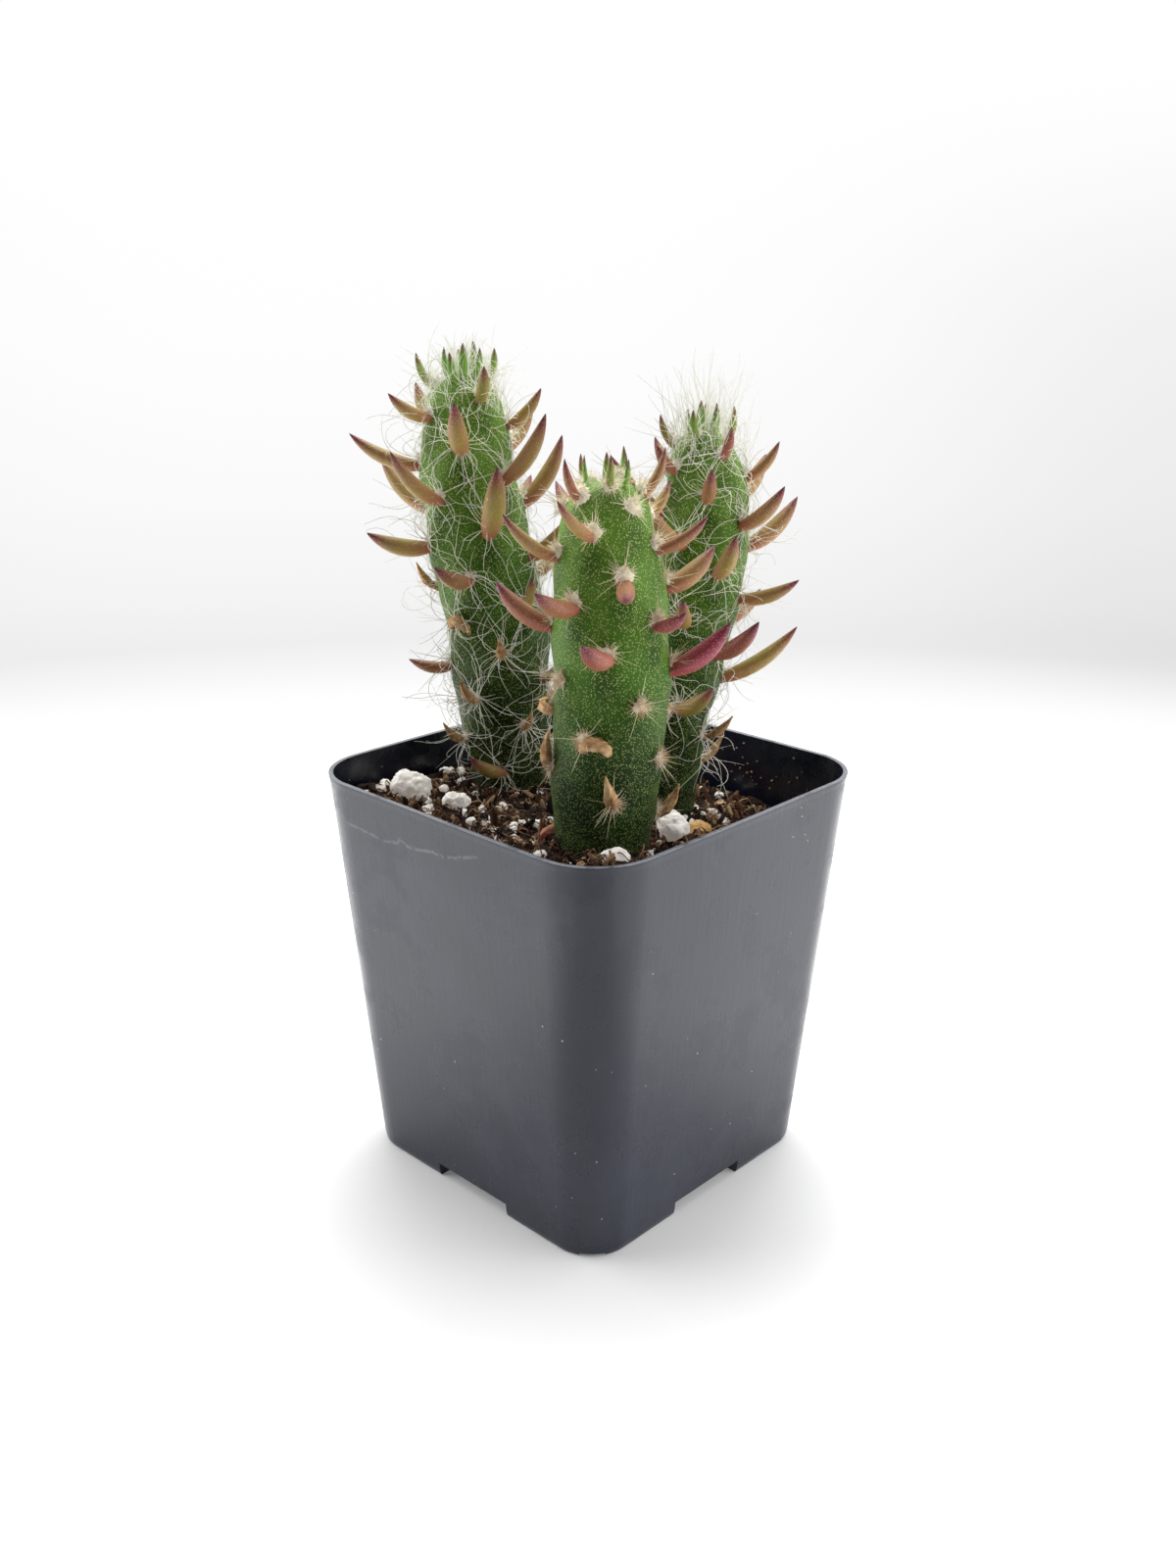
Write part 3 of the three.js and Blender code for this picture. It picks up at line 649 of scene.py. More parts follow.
scatter = Growth(
    "scatter_over_surface",
    Shapes="Collection",
    Density="Float",
    Smallest="Float",
    Largest="Float",
    Seed="Int",
)
seed_value = scatter.given("Seed")
sockets = {0: scatter.given("Geometry"), 4: scatter.given("Density"), 6: seed_value}
spots = scatter.node("GeometryNodeDistributePointsOnFaces", None, sockets)
tone = scatter.node("FunctionNodeRandomValue", None, {2: 0.0, 3: 1.0, 8: seed_value}, 1)
spots = scatter.node("GeometryNodeStoreNamedAttribute", None, {0: spots, 2: "tone", 3: tone})
full_turn = {0: (0, 0, 0), 1: (6.283, 6.283, 6.283), 8: seed_value + 1}
spin = scatter.node("FunctionNodeRandomValue", {"data_type": "FLOAT_VECTOR"}, full_turn)
spin = scatter.node("FunctionNodeEulerToRotation", None, {0: spin})
limits = {2: scatter.given("Smallest"), 3: scatter.given("Largest"), 8: seed_value + 2}
scale = scatter.node("FunctionNodeRandomValue", None, limits, 1)
kinds = {0: scatter.given("Shapes"), 1: True, 2: True}
kinds = scatter.node("GeometryNodeCollectionInfo", None, kinds)
sockets = {0: spots, 2: kinds, 3: True, 5: spin, 6: scale}
scatter.end(scatter.node("GeometryNodeInstanceOnPoints", None, sockets))


def set_on_points(name, spots, shape, finish, slot):
    made = set_shapes.grow(name, spots, Shape=shape, Finish=finish.material)
    hand_over(made, finish, slot)


print("trees:", [group.name for group in bpy.data.node_groups])

# %% [markdown]
# ## Potting mix
#
# The mix is bark and coir fibre, shredded and dark brown, with white perlite. One lumpy solid
# fills the pot. Chips and crumbs are scattered over its top, then fine fibres that lie across
# them, because a smooth bump alone would look like paint.

# %% The mix's surface
SOIL_LEVEL = 59.4
FRONT_HEAP = 2.6
BURIED_EDGE = 6.0
SOIL_GAP = 0.3


def hill(x, y, middle, width):
    """A smooth round hill of height 1."""
    return np.exp(-((x - middle[0]) ** 2 + (y - middle[1]) ** 2) / width**2)


def soil_height(x, y):
    across = x * ACROSS_VIEW[0] + y * ACROSS_VIEW[1]
    near = x * TOWARDS_VIEWER[0] + y * TOWARDS_VIEWER[1]
    heap = 1.1 * hill(x, y, (15, -13), 10)
    dip = 3 * hill(x, y, (25, 20), 12)
    lumps = 0.45 * np.sin(0.33 * x + 1.3) * np.sin(0.37 * y) + 0.25 * np.sin(0.5 * x - 0.43 * y)
    return SOIL_LEVEL + 0.06 * near - 0.07 * across + heap - dip + lumps


def crumbly(x, y):
    """The mix's height with its fine lumps, and a small heap in the front corner."""
    fine = [noise.fractal(Vector((u * 0.55, v * 0.55, 3.1)), 0.8, 2.2, 4) for u, v in zip(x, y)]
    heap = FRONT_HEAP * hill(x, y, (24.5, -23.0), 6.5)
    return soil_height(x, y) + heap + 0.75 * np.array(fine)


SOIL_RINGS, WALL_MARGIN = 64, 3
edge = pot_ring(SOIL_LEVEL - BURIED_EDGE, POT_WALL + SOIL_GAP)
bottom = pot_ring(POT_FLOOR + CHANNEL_HEIGHT + SOIL_GAP, POT_WALL + SOIL_GAP)
rings = [bottom, edge]
for share in np.linspace(1, 0.02, SOIL_RINGS):
    ring = edge * [share, share, 0]
    ring[:, 2] = crumbly(ring[:, 0], ring[:, 1])
    rings.append(ring)
soil = mesh_piece("potting_mix", *closed_rings(np.array(rings)))
off_wall = rings[2 + WALL_MARGIN :]
open_ground = ring_faces(len(off_wall), len(edge))
soil_top = mesh_piece("mix_top", np.array(off_wall).reshape(-1, 3), open_ground)

# %% Brown mix
mix = Finish("bark_mix", Roughness=0.95, Specular_IOR_Level=0.25)
grain = mix.noise(1400.0, 4.0, 0.65)
patches = mix.noise(260.0, 3.0)
soft_brown = mix.blend(mix.step(patches, 0.35, 0.65), tint(18, 13, 11), tint(44, 30, 24))
mix.feed("Base Color", mix.blend(mix.step(grain, 0.5, 0.8), soft_brown, tint(112, 82, 60)))
mix.relief(grain, 0.4)
hand_over(soil, mix, "potting_mix", "soil")


# %% Crumbs and chips
def lump_shape(name, detail, seed, squash):
    mesh = bpy.data.meshes.new(name)
    form = bmesh.new()
    bmesh.ops.create_icosphere(form, subdivisions=detail, radius=0.5)
    for index, vertex in enumerate(form.verts):
        vertex.co *= 0.7 + 0.55 * draw(seed, index)
        vertex.co = vertex.co * Vector(squash)
    form.to_mesh(mesh)
    form.free()
    return mesh


def shape_set(name, detail, squashes):
    shapes = bpy.data.collections.new(name)
    bpy.context.scene.collection.children.link(shapes)
    for index, squash in enumerate(squashes):
        mesh = lump_shape(f"{name}_{index}", detail, 3 + 7 * index, squash)
        shapes.objects.link(bpy.data.objects.new(mesh.name, mesh))
    return shapes


def strew(name, finish, slot, shapes, **values):
    ground = new_object(name + "_ground", soil_top.data.copy())
    made = scatter.grow(name, ground, Shapes=shapes, Finish=finish.material, **values)
    hand_over(made, finish, slot)


crumb_forms = [(1, 0.8, 0.6), (1.5, 0.6, 0.5), (0.9, 0.9, 0.8), (1.8, 0.4, 0.4)]
crumb_shapes = shape_set("crumbs", 1, crumb_forms)
chip_shapes = shape_set("chips", 2, [(1.6, 0.8, 0.35), (2.2, 0.5, 0.3), (1.2, 1.0, 0.5)])

bark = Finish("bark_crumbs", Roughness=0.9, Specular_IOR_Level=0.3)
tones = bark.ramp(
    bark.attribute("tone"),
    (0.0, 17, 12, 10), (0.3, 42, 28, 22), (0.55, 94, 64, 46), (0.8, 166, 124, 90),
    (1.0, 220, 188, 148),
)
streaky = bark.noise(900.0, 3.0, 0.6, bark.stretched(1.0, 0.4, 1.0))
bark.feed("Base Color", bark.blend(streaky * 0.6, tones, tint(44, 32, 27)))
bark.relief(streaky, 0.15)

chip_sizes = {"Density": 0.16e6, "Smallest": 0.0011, "Largest": 0.0026, "Seed": 4}
crumb_sizes = {"Density": 0.6e6, "Smallest": 0.0005, "Largest": 0.0012, "Seed": 9}
strew("bark_chips", bark, "potting_mix", chip_shapes, **chip_sizes)
strew("bark_fines", bark, "potting_mix", crumb_shapes, **crumb_sizes)

# %% [markdown]
# A line of points becomes a fibre, a hair or a bristle when it gets a thickness. The same walk
# makes them all: it takes short steps, swings and droops a little at each one, and keeps out of
# the stem that it grows on.

# %% Lines that wander
STRAND_SIDES = 3


def wander(starts, headings, lengths, steps, chance, curl=0.0, droop=0.0, guide=None):
    """Paths that turn by up to `curl` at each step, sink by `droop`, and obey a guide."""
    count = len(starts)
    heading = unit(np.array(headings, float))
    stride = np.broadcast_to(lengths, count)[:, None] / steps
    axis = unit(chance.normal(size=(count, 3)))
    phase = chance.uniform(0, 2 * math.pi, (count, 1))
    rate = chance.uniform(0.05, 0.5, (count, 1))
    path = [np.array(starts, float)]
    for number in range(steps):
        bend = np.cross(heading, axis) * np.sin(phase + rate * number)
        heading = unit(heading + curl * bend - droop * UP)
        point = path[-1] + heading * stride
        if guide:
            point, heading = guide(point, heading)
        path.append(point)
    return np.stack(path, 1)


def strands(name, paths, finish, slot, thickness, tip, **attributes):
    """Gives paths a thin body that narrows to the share `tip`, and hands the piece over."""
    count, steps = paths.shape[:2]
    index = np.arange(count * steps).reshape(count, steps)
    edges = np.stack([index[:, :-1].ravel(), index[:, 1:].ravel()], 1)
    girth = np.tile(1 - (1 - tip) * np.linspace(0, 1, steps) ** 1.5, count)
    per_point = {label: np.repeat(values, steps) for label, values in attributes.items()}
    lines = mesh_piece(name + "_lines", paths.reshape(-1, 3), (), edges, girth=girth, **per_point)
    body = {"Thickness": thickness * MM, "Sides": STRAND_SIDES, "Finish": finish.material}
    made = thicken.grow(name, lines, **body)
    made.data.shade_smooth()
    hand_over(made, finish, slot)


# %% Coir fibres
chance = np.random.default_rng(21)
count, FIBRE_REACH = 1300, 28.3
starts = np.column_stack([chance.uniform(-28, 28, (count, 2)), np.zeros(count)])
way = chance.uniform(0, 2 * math.pi, count)
headings = level_ways(way)
fibres = wander(starts, headings, chance.uniform(1.2, 5, count), 8, chance, curl=0.3)
flat = fibres[..., :2]
flat *= np.minimum(1, FIBRE_REACH / np.linalg.norm(flat, ord=6, axis=-1, keepdims=True))
arch = np.sin(np.linspace(0, math.pi, 9)) * chance.uniform(0, 1.5, (count, 1))
level = crumbly(flat[..., 0].ravel(), flat[..., 1].ravel()).reshape(arch.shape)
fibres[..., 2] = level + 0.15 + arch
shade = chance.uniform(0.25, 1.0, count)
strands("coir_fibres", fibres, bark, "potting_mix", 0.27, 0.4, tone=shade)

# %% [markdown]
# ## Stones
#
# Perlite is volcanic glass that has puffed up like popcorn: white, rough and full of pits. Each
# lump starts from its own plain part, so it stays where it lies. Subdivision rounds it, and
# fractal noise roughens it. It is drawn a little larger than its part and set a little higher or
# lower, as the photo shows it: `growth` is its size and `lift` a share of its height.

# %% White perlite and the amber stone
# Painted light: the stones glow a little, though they are no lamp, and so look brighter in the
# pot's shade.
STONE_GLOW = 0.14  # stands for the light that spreads inside puffed glass

perlite = Finish("white_perlite", Roughness=0.85, Specular_IOR_Level=0.3)
pits = perlite.noise(1500.0, 4.0, 0.6)
smudge = perlite.noise(420.0, 3.0, 0.6)
stained = perlite.step(smudge, 0.5, 0.8) * 0.7
chalk = perlite.blend(stained, tint(243, 240, 235), tint(206, 192, 172))
# Painted shade: the stone is darker in its pits.
painted_pit_shade = perlite.step(pits, 0.48, 0.36) * 0.24
perlite.feed("Base Color", perlite.blend(painted_pit_shade, chalk, tint(160, 146, 130)))
perlite.glow(tint(255, 248, 238), STONE_GLOW)
perlite.relief(pits, 0.14)

amber = Finish("amber_stone", Roughness=0.6, Specular_IOR_Level=0.4)
veins = amber.noise(500.0, 4.0, 0.6)
amber_tones = [(0.3, 142, 96, 48), (0.5, 208, 158, 88), (0.7, 242, 214, 160)]
amber.feed("Base Color", amber.ramp(veins, *amber_tones))
amber.relief(veins, 0.3)


USUAL_LUMP = (1.14, 0.2)
ODD_LUMPS = {"perlite_1": (1.14, -0.05), "perlite_3": (1.25, 0.35), "perlite_4": (1.4, 1.0)}


def lumpiness(place):
    coarse = noise.fractal(place * 1.9, 0.9, 2.0, 2)
    return 0.34 * coarse + 0.16 * noise.fractal(place * 7, 0.8, 2.1, 3)


def rough_stone(node, finish, slot, roughness):
    """A finer stone in the place of a plain one, grown from a copy of its mesh."""
    low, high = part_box(node)
    form = bmesh.new()
    form.from_mesh(frame["nodes"][node].data)
    bmesh.ops.remove_doubles(form, verts=form.verts, dist=1e-6)
    mesh = bpy.data.meshes.new(node + "_plain")
    form.to_mesh(mesh)
    form.free()
    plain = new_object(node + "_plain", mesh)
    rounding = plain.modifiers.new("rounding", "SUBSURF")
    rounding.levels = rounding.render_levels = 3
    stone = plain_mesh(node + "_lump", plain)
    points, normals = np.empty((2, len(stone.data.vertices), 3))
    stone.data.vertices.foreach_get("co", points.ravel())
    stone.data.vertex_normals.foreach_get("vector", normals.ravel())
    size = np.array(high) - np.array(low)
    width = size.mean()
    bulge = [lumpiness(Vector(point / width)) for point in points]
    points += normals * np.array(bulge)[:, None] * roughness * width
    share = (points - points.min(0)) / np.ptp(points, axis=0)
    growth, lift = ODD_LUMPS.get(node, USUAL_LUMP)
    lifted = np.array(low) + size * [0, 0, lift]
    points = lifted + (share * growth - (growth - 1) / 2) * size
    stone.data.vertices.foreach_set("co", points.ravel())
    stone.data.update()
    stone.data.shade_smooth()
    hand_over(stone, finish, slot, node)


for node in sorted(frame["nodes"]):
    if node.startswith("perlite"):
        rough_stone(node, perlite, "white_perlite", 0.3)
rough_stone("pebble_tan", amber, "amber_stone", 0.25)

grain_shapes = shape_set("grains", 2, [(1, 0.9, 0.8), (1.1, 0.8, 0.8)])
grain_sizes = {"Density": 0.045e6, "Smallest": 0.0006, "Largest": 0.0022, "Seed": 5}
strew("perlite_grains", perlite, "white_perlite", grain_shapes, **grain_sizes)

chance = np.random.default_rng(8)
STUCK_MIDDLE, STUCK_LOWEST, STUCK_RANGE = 61.5, 58.5, 7
inner_half = (POT_BASE + (POT_TOP - POT_BASE) * STUCK_MIDDLE / POT_HEIGHT) / 2 - POT_WALL
count = 26
x = chance.uniform(2, 21, count)
z = STUCK_LOWEST + STUCK_RANGE * chance.uniform(0, 1, count) ** 1.4
lean = (z - STUCK_MIDDLE) * (POT_TOP - POT_BASE) / 2 / POT_HEIGHT
stuck = np.column_stack([x, inner_half + lean - 0.1, z])
ways = unit(chance.normal(size=(count, 3)))
sizes = chance.uniform(0.2, 0.6, (count, 1)) * [MM, 0.6 * MM, 1.4 * MM]
facts = {"heading": ways, "face": np.roll(ways, 1, 1), "size": sizes, "bow": np.zeros(count)}
spots = mesh_piece("stuck_spots", stuck, tone=chance.uniform(0.85, 1.1, count), **facts)
set_on_points("stuck_crumbs", spots, crumb_shapes.objects[2], bark, "potting_mix")
bpy.data.objects.remove(soil_top)
for shapes in (crumb_shapes, chip_shapes, grain_shapes):
    for unused in list(shapes.objects):
        bpy.data.objects.remove(unused)

# %% [markdown]
# ## Stems
#
# A stem's skin is a loft: a ring at each height, as wide as the stem is there. The wool cushions,
# from which leaves and spines grow, wind down the stem from its tip, each a golden angle of 137.5
# degrees on from the one above. Below each one the skin swells into a low bump. All of this
# follows one rule, so the whole plant is worked out from a few numbers for each stem.

# %% The stem's rule
GOLDEN_ANGLE = 137.508
TUBERCLE_RISE, TUBERCLE_SPREAD = 0.75, 3.1
TUBERCLE_DROP, TUBERCLE_STRETCH = 1.6, 0.75
STEEPEST_TIP = 2.0
PITCH_HEIGHT = 90.0
CROWN_DEPTH = 6.0
HAIR_CLEARANCE, HAIR_LIFT = 0.12, 0.5


def smooth_curve(points, count):
    """A curve through the points, as many small steps, that doesn't overshoot between them."""
    points = np.asarray(points, float)
    ends = np.vstack([2 * points[0] - points[1], points, 2 * points[-1] - points[-2]])
    t = np.linspace(0, 1, count, endpoint=False)[:, None]
    rows = []
    for before, start, end, after in zip(ends, ends[1:], ends[2:], ends[3:]):
        pairs = ((before, start), (start, end), (end, after))
        d0, d1, d2 = (np.linalg.norm(b - a) ** 0.5 for a, b in pairs)
        leave = d1 * ((start - before) / d0 - (end - before) / (d0 + d1)) + end - start
        arrive = d1 * ((after - end) / d2 - (after - start) / (d1 + d2)) + end - start
        square = 3 * (end - start) - 2 * leave - arrive
        cube = 2 * (start - end) + leave + arrive
        rows.append(start + leave * t + square * t**2 + cube * t**3)
    return np.vstack([*rows, points[-1:]])


class Stem:
    def __init__(self, profile, **facts):
        self.__dict__.update(facts)
        self.top = profile[-1][0]
        self.table = smooth_curve(profile, 60)
        self.slopes = np.gradient(self.table[:, 2], self.table[:, 0])
        self.find_areoles()
        self.settle_crown()

    def axis(self, height, shift):
        height, shift = np.broadcast_arrays(np.asarray(height, float), shift)
        centre = np.array(self.foot) + shift[..., None] * ACROSS_VIEW
        centre[..., 2] = height
        return centre

    def section(self, height):
        heights, shifts, radii = self.table.T
        centre = self.axis(height, np.interp(height, heights, shifts))
        slope = np.interp(height, heights, self.slopes)
        return centre, np.interp(height, heights, radii), slope

    def find_areoles(self):
        first, turn, pitch, tighten, way = self.spiral
        heights = [first]
        while heights[-1] > self.bare_below:
            heights.append(heights[-1] - pitch * (1 - tighten * (heights[-1] - PITCH_HEIGHT)))
        self.numbers = np.arange(len(heights) - 1)
        self.angles = VIEW_TURN + np.radians(turn + way * GOLDEN_ANGLE * self.numbers)
        centre, radius, slope = self.section(np.array(heights[:-1]))
        level = level_ways(self.angles)
        self.outward = level
        self.normal = unit(level + UP * np.minimum(-slope, STEEPEST_TIP)[:, None])
        self.on_skin = centre + level * radius[:, None]
        self.points = self.on_skin + level * self.rise(self.on_skin)[:, None]

    def sunk(self, heights):
        """How far the crown's flesh lies below the plain part's rounded top."""
        return self.settle * np.maximum(heights - (self.top - CROWN_DEPTH), 0) / CROWN_DEPTH

    def settle_crown(self):
        """The plain part's dome stands for a tuft of leaves: the flesh itself is flatter."""
        self.full_top = self.top
        self.areole_drop = self.sunk(self.points[:, 2])
        for places in (self.points, self.on_skin):
            places[:, 2] -= self.sunk(places[:, 2])
        self.table[:, 0] -= self.sunk(self.table[:, 0])
        self.top = self.table[-1, 0]

    def rise(self, points):
        """How far the bumps lift the plain skin at each point."""
        grown = smoothstep(points[:, 2], self.bare_below - 1, self.bare_below + 4)
        offset = points[:, None] - self.on_skin
        offset[..., 2] = (offset[..., 2] + TUBERCLE_DROP) * TUBERCLE_STRETCH
        return grown * TUBERCLE_RISE * np.exp(-(offset**2).sum(-1) / TUBERCLE_SPREAD**2).sum(1)

    def guide(self, points, headings, cling=0.0):
        """Lifts points out of the stem, and bends their headings along its skin."""
        centre, radius, _ = self.section(points[:, 2])
        offset = points - centre
        away = np.linalg.norm(offset, axis=1)
        outward = offset / np.maximum(away, 1e-6)[:, None]
        skin = radius + self.rise(points) + HAIR_CLEARANCE
        inside = ((away < skin) & (points[:, 2] < self.top))[:, None]
        lifted = np.where(inside, centre + outward * skin[:, None], points)
        inward = np.minimum((headings * outward).sum(1), 0)[:, None]
        along_skin = np.where(inside, headings - outward * inward, headings)
        stray = np.clip(away - skin - HAIR_LIFT, 0, 1)[:, None]
        return lifted, unit(along_skin - outward * stray * cling)


# %% [markdown]
# The numbers for each stem. `profile` gives the height, the lean across the view and the radius.
# `leaves` lists the leaves that the photo shows, counted from the tip: length, lean from upright,
# a turn to the side, and how pink it is. A leaf that isn't listed follows the rule. Low down,
# leaves have withered or fallen.

# %% The three stems
left = Stem(
    seed=11,
    foot=(-19.6, 0.9, 0),
    spiral=(126.4, 116, 1.54, 0, 1),
    crown=6,
    crown_leaf=3.4,
    profile=[
        (36, 0, 5), (48, 0, 5.6), (60, 0, 6), (74, -0.9, 7.2), (88, -1.8, 7.9), (101, -4.4, 7.8),
        (112, -5.8, 7), (119, -6.2, 6), (124, -6.3, 4.7), (126.9, -6.3, 2.8), (128, -6.3, 0),
    ],
    bare_below=62.5,
    leaves={
        0: (4.2, 14), 1: (5.5, 28), 2: (7.5, 46, -20), 4: (8, 60), 5: (8, 42), 7: (11.5, 46),
        8: (10, 45), 9: (12, 65), 10: (13.5, 38), 12: (14, 52), 13: (12.5, 31), 14: (13, 50),
        15: (12, 26), 17: (10.5, 74), 18: (11, 44), 20: (9, 66, -22, 0.45), 21: (8, 45),
        23: (6, 24), 30: (7, 80, -10, 0.5), 31: (6, 44, 0, 0.3), 41: (7.5, 58, -45, 0.1),
    },
    withered=(22, 25, 28, 33, 36, 38, 39),
    curled=(25, 39),
    fallen=(24, 26, 27, 29, 32, 34, 35, 37, 40),
    blush=0.12,
    settle=1.4,
    leaf_width=0.92,
    plumping=0.15,
    hairs=24,
    hair_length=8.0,
    crown_hair=7.0,
    tuft=0.9,
)
centre = Stem(
    seed=23,
    foot=(14.8, -12.9, 0),
    spiral=(116.9, 140, 1.5, 0.015, -1),
    crown=5,
    crown_leaf=1.9,
    profile=[
        (36, 0, 5.8), (48, 0, 6.4), (60, 0, 7), (74, 0.8, 7.6), (87, 1.3, 7.9), (97, 1, 7.6),
        (104, 0.6, 6.8), (110, 0.4, 5.2), (114, 0.6, 3.6), (116.6, 0.6, 1.9), (117.4, 0.6, 0),
    ],
    bare_below=64.5,
    leaves={
        0: (2.5, 8), 1: (3, 10), 2: (3.2, 16), 3: (6, 24, 0, 0.4), 4: (5.8, 24, 0, 0.6),
        5: (4, 30), 8: (6.5, 36), 9: (9, 50, -24, 0.25), 11: (9, 54, 0, 0.5),
        12: (10, 50, 0, 0.2), 13: (6.5, 36), 14: (7, 96, -14, 0.55), 16: (9, 50, 0, 0.3),
        17: (9, 67, 0, 0.55), 19: (6, 62, 0, 0.9), 20: (10, 50, 0, 0.6), 22: (8, 62, -24, 0.75),
        24: (11, 48, 0, 1.0), 28: (6, 88, 20), 30: (5, 35, 16), 33: (6, 30), 35: (6, 40, -24),
    },
    withered=(28, 30, 33, 35, 37),
    curled=(28, 30),
    fallen=(6, 7, 15, 21, 23, 25, 26, 27, 29, 31, 32, 34, 36, 38, 39, 40),
    blush=0.3,
    settle=2.6,
    leaf_width=0.78,
    plumping=0.55,
    tuft=1.3,
)
right_stem = Stem(
    seed=37,
    foot=(4.5, 12, 0),
    spiral=(119.2, 336, 1.63, 0.01, 1),
    crown=5,
    crown_leaf=3.2,
    profile=[
        (34, 0, 4.8), (45, 0, 5.3), (57, 0, 5.8), (70, 0.8, 5.8), (82, 3.3, 5.9), (95, 5.6, 6.1),
        (105, 6.4, 6), (112, 6.2, 5.2), (117, 5.7, 3.6), (119.8, 5.5, 2), (120.6, 5.5, 0),
    ],
    bare_below=61.5,
    leaves={
        0: (3.6, 20), 1: (4.6, 12), 2: (5, 28), 3: (5, 22, 0, 0.8), 5: (5.5, 40, 0, 0.6),
        6: (7.5, 40, 0, 0.3), 8: (7.5, 44, 6, 0.55), 10: (12, 44, 0, 0.3), 11: (10, 48),
        14: (11, 46), 16: (10, 44, 0, 0.15), 19: (10, 68, 0, 0.2), 21: (8, 50, 10, 0.2),
        22: (8, 56, 0, 0.4), 24: (12, 54, 0, 0.75), 27: (14.5, 54, 0, 0.0), 29: (10, 56, 30, 0.0),
    },
    withered=(18, 26, 32, 35, 37),
    curled=(26,),
    fallen=(20, 23, 25, 28, 30, 31, 33, 34, 36),
    blush=0.25,
    settle=1.4,
    leaf_width=0.9,
    plumping=0.1,
    hairs=22,
    hair_length=7.5,
    crown_hair=13.0,
    tuft=0.8,
)
stems = {"left": left, "centre": centre, "right": right_stem}
print("areoles:", {name: len(stem.numbers) for name, stem in stems.items()})

# %% [markdown]
# ### Skin
#
# The green skin is waxy and covered with pale dots, half a millimetre apart, which are its
# breathing pores. It is paler at the tip and darker towards the foot, partly with age and partly as
# painted light and shade. On the bump under each wool cushion it is painted darker green, a painted
# shade under the cushion and its leaf. Cells from a Voronoi texture give the dots, and attributes
# give the rest.

# %% Green skin
skin = Finish("green_skin", Roughness=0.5, Specular_IOR_Level=0.16, Sheen_Weight=0.06)
skin.surface.inputs["Sheen Tint"].default_value = tint(176, 206, 136)
skin.surface.inputs["Sheen Roughness"].default_value = 0.4
pores = skin.step(skin.cells(3500.0), 0.42, 0.2)
mottle = skin.noise(330.0, 3.0, 0.6)
# Paler at the tip and darker towards the foot: partly the skin's age, partly painted light and
# shade.
age = skin.attribute("age")
body = skin.ramp(
    age,
    (0.0, 106, 146, 60), (0.1, 100, 144, 48), (0.45, 66, 108, 26), (0.72, 19, 44, 13),
    (1.0, 13, 28, 13),
)
# Painted shade: darker green on the bump below each wool cushion and its leaf.
body = skin.blend(skin.attribute("patch") * 0.8, body, tint(28, 56, 14))
body = skin.blend(skin.step(mottle, 0.4, 0.8) * 0.3, body, tint(100, 132, 56))
pore_share = pores * (1.0 - age * 0.62)
skin.feed("Base Color", skin.blend(pore_share, body, tint(190, 206, 120)))
skin.relief(pores * 0.5 + skin.noise(700.0, 2.0), 0.08)

SKIN_ROWS, SKIN_SIDES = 190, 112
SHADE_DROP, SHADE_HEIGHT, SHADE_WIDTH = 3.4, 3.0, 2.1


def skin_piece(name, stem):
    table = stem.table[stem.table[:, 0] > SOIL_LEVEL - BURIED_EDGE]
    walked = np.concatenate([[0], np.cumsum(np.linalg.norm(np.diff(table, axis=0), axis=1))])
    even = np.linspace(0, walked[-1], SKIN_ROWS)[:-1]
    height, shift, radius = (np.interp(even, walked, column) for column in table.T)
    around = np.linspace(0, 2 * math.pi, SKIN_SIDES, endpoint=False)
    level = level_ways(around)
    rings = stem.axis(height, shift)[:, None] + level * radius[:, None, None]
    points = rings.reshape(-1, 3)
    points += np.tile(level, (len(height), 1)) * stem.rise(points)[:, None]
    tip = stem.axis(stem.top, table[-1, 1])[None]
    faces = pointed_faces(len(height), SKIN_SIDES)
    points = np.vstack([points, tip])
    offset = points[:, None] - stem.points
    # How much painted shade falls below the nearest cushion.
    drop = ((offset[..., 2] + SHADE_DROP) / SHADE_HEIGHT) ** 2
    aside = (offset[..., :2] ** 2).sum(-1) / SHADE_WIDTH**2
    patch = np.exp(-drop - aside).max(1)
    age = np.clip((stem.top - points[:, 2]) / (stem.top - SOIL_LEVEL), 0, 1)
    made = mesh_piece(f"stem_{name}_skin", points, faces, patch=patch, age=age)
    hand_over(made, skin, "cactus_flesh", "stem_" + name)


for name, stem in stems.items():
    skin_piece(name, stem)

# %% [markdown]
# ### Leaves
#
# A leaf is a plump awl: round below, flatter above, thickest a third of the way along, with a
# sharp dark tip that curves up. One leaf is made with a length of 1, and the tree sets a copy on
# each point. Dry leaves are thin, twisted and straw-coloured.

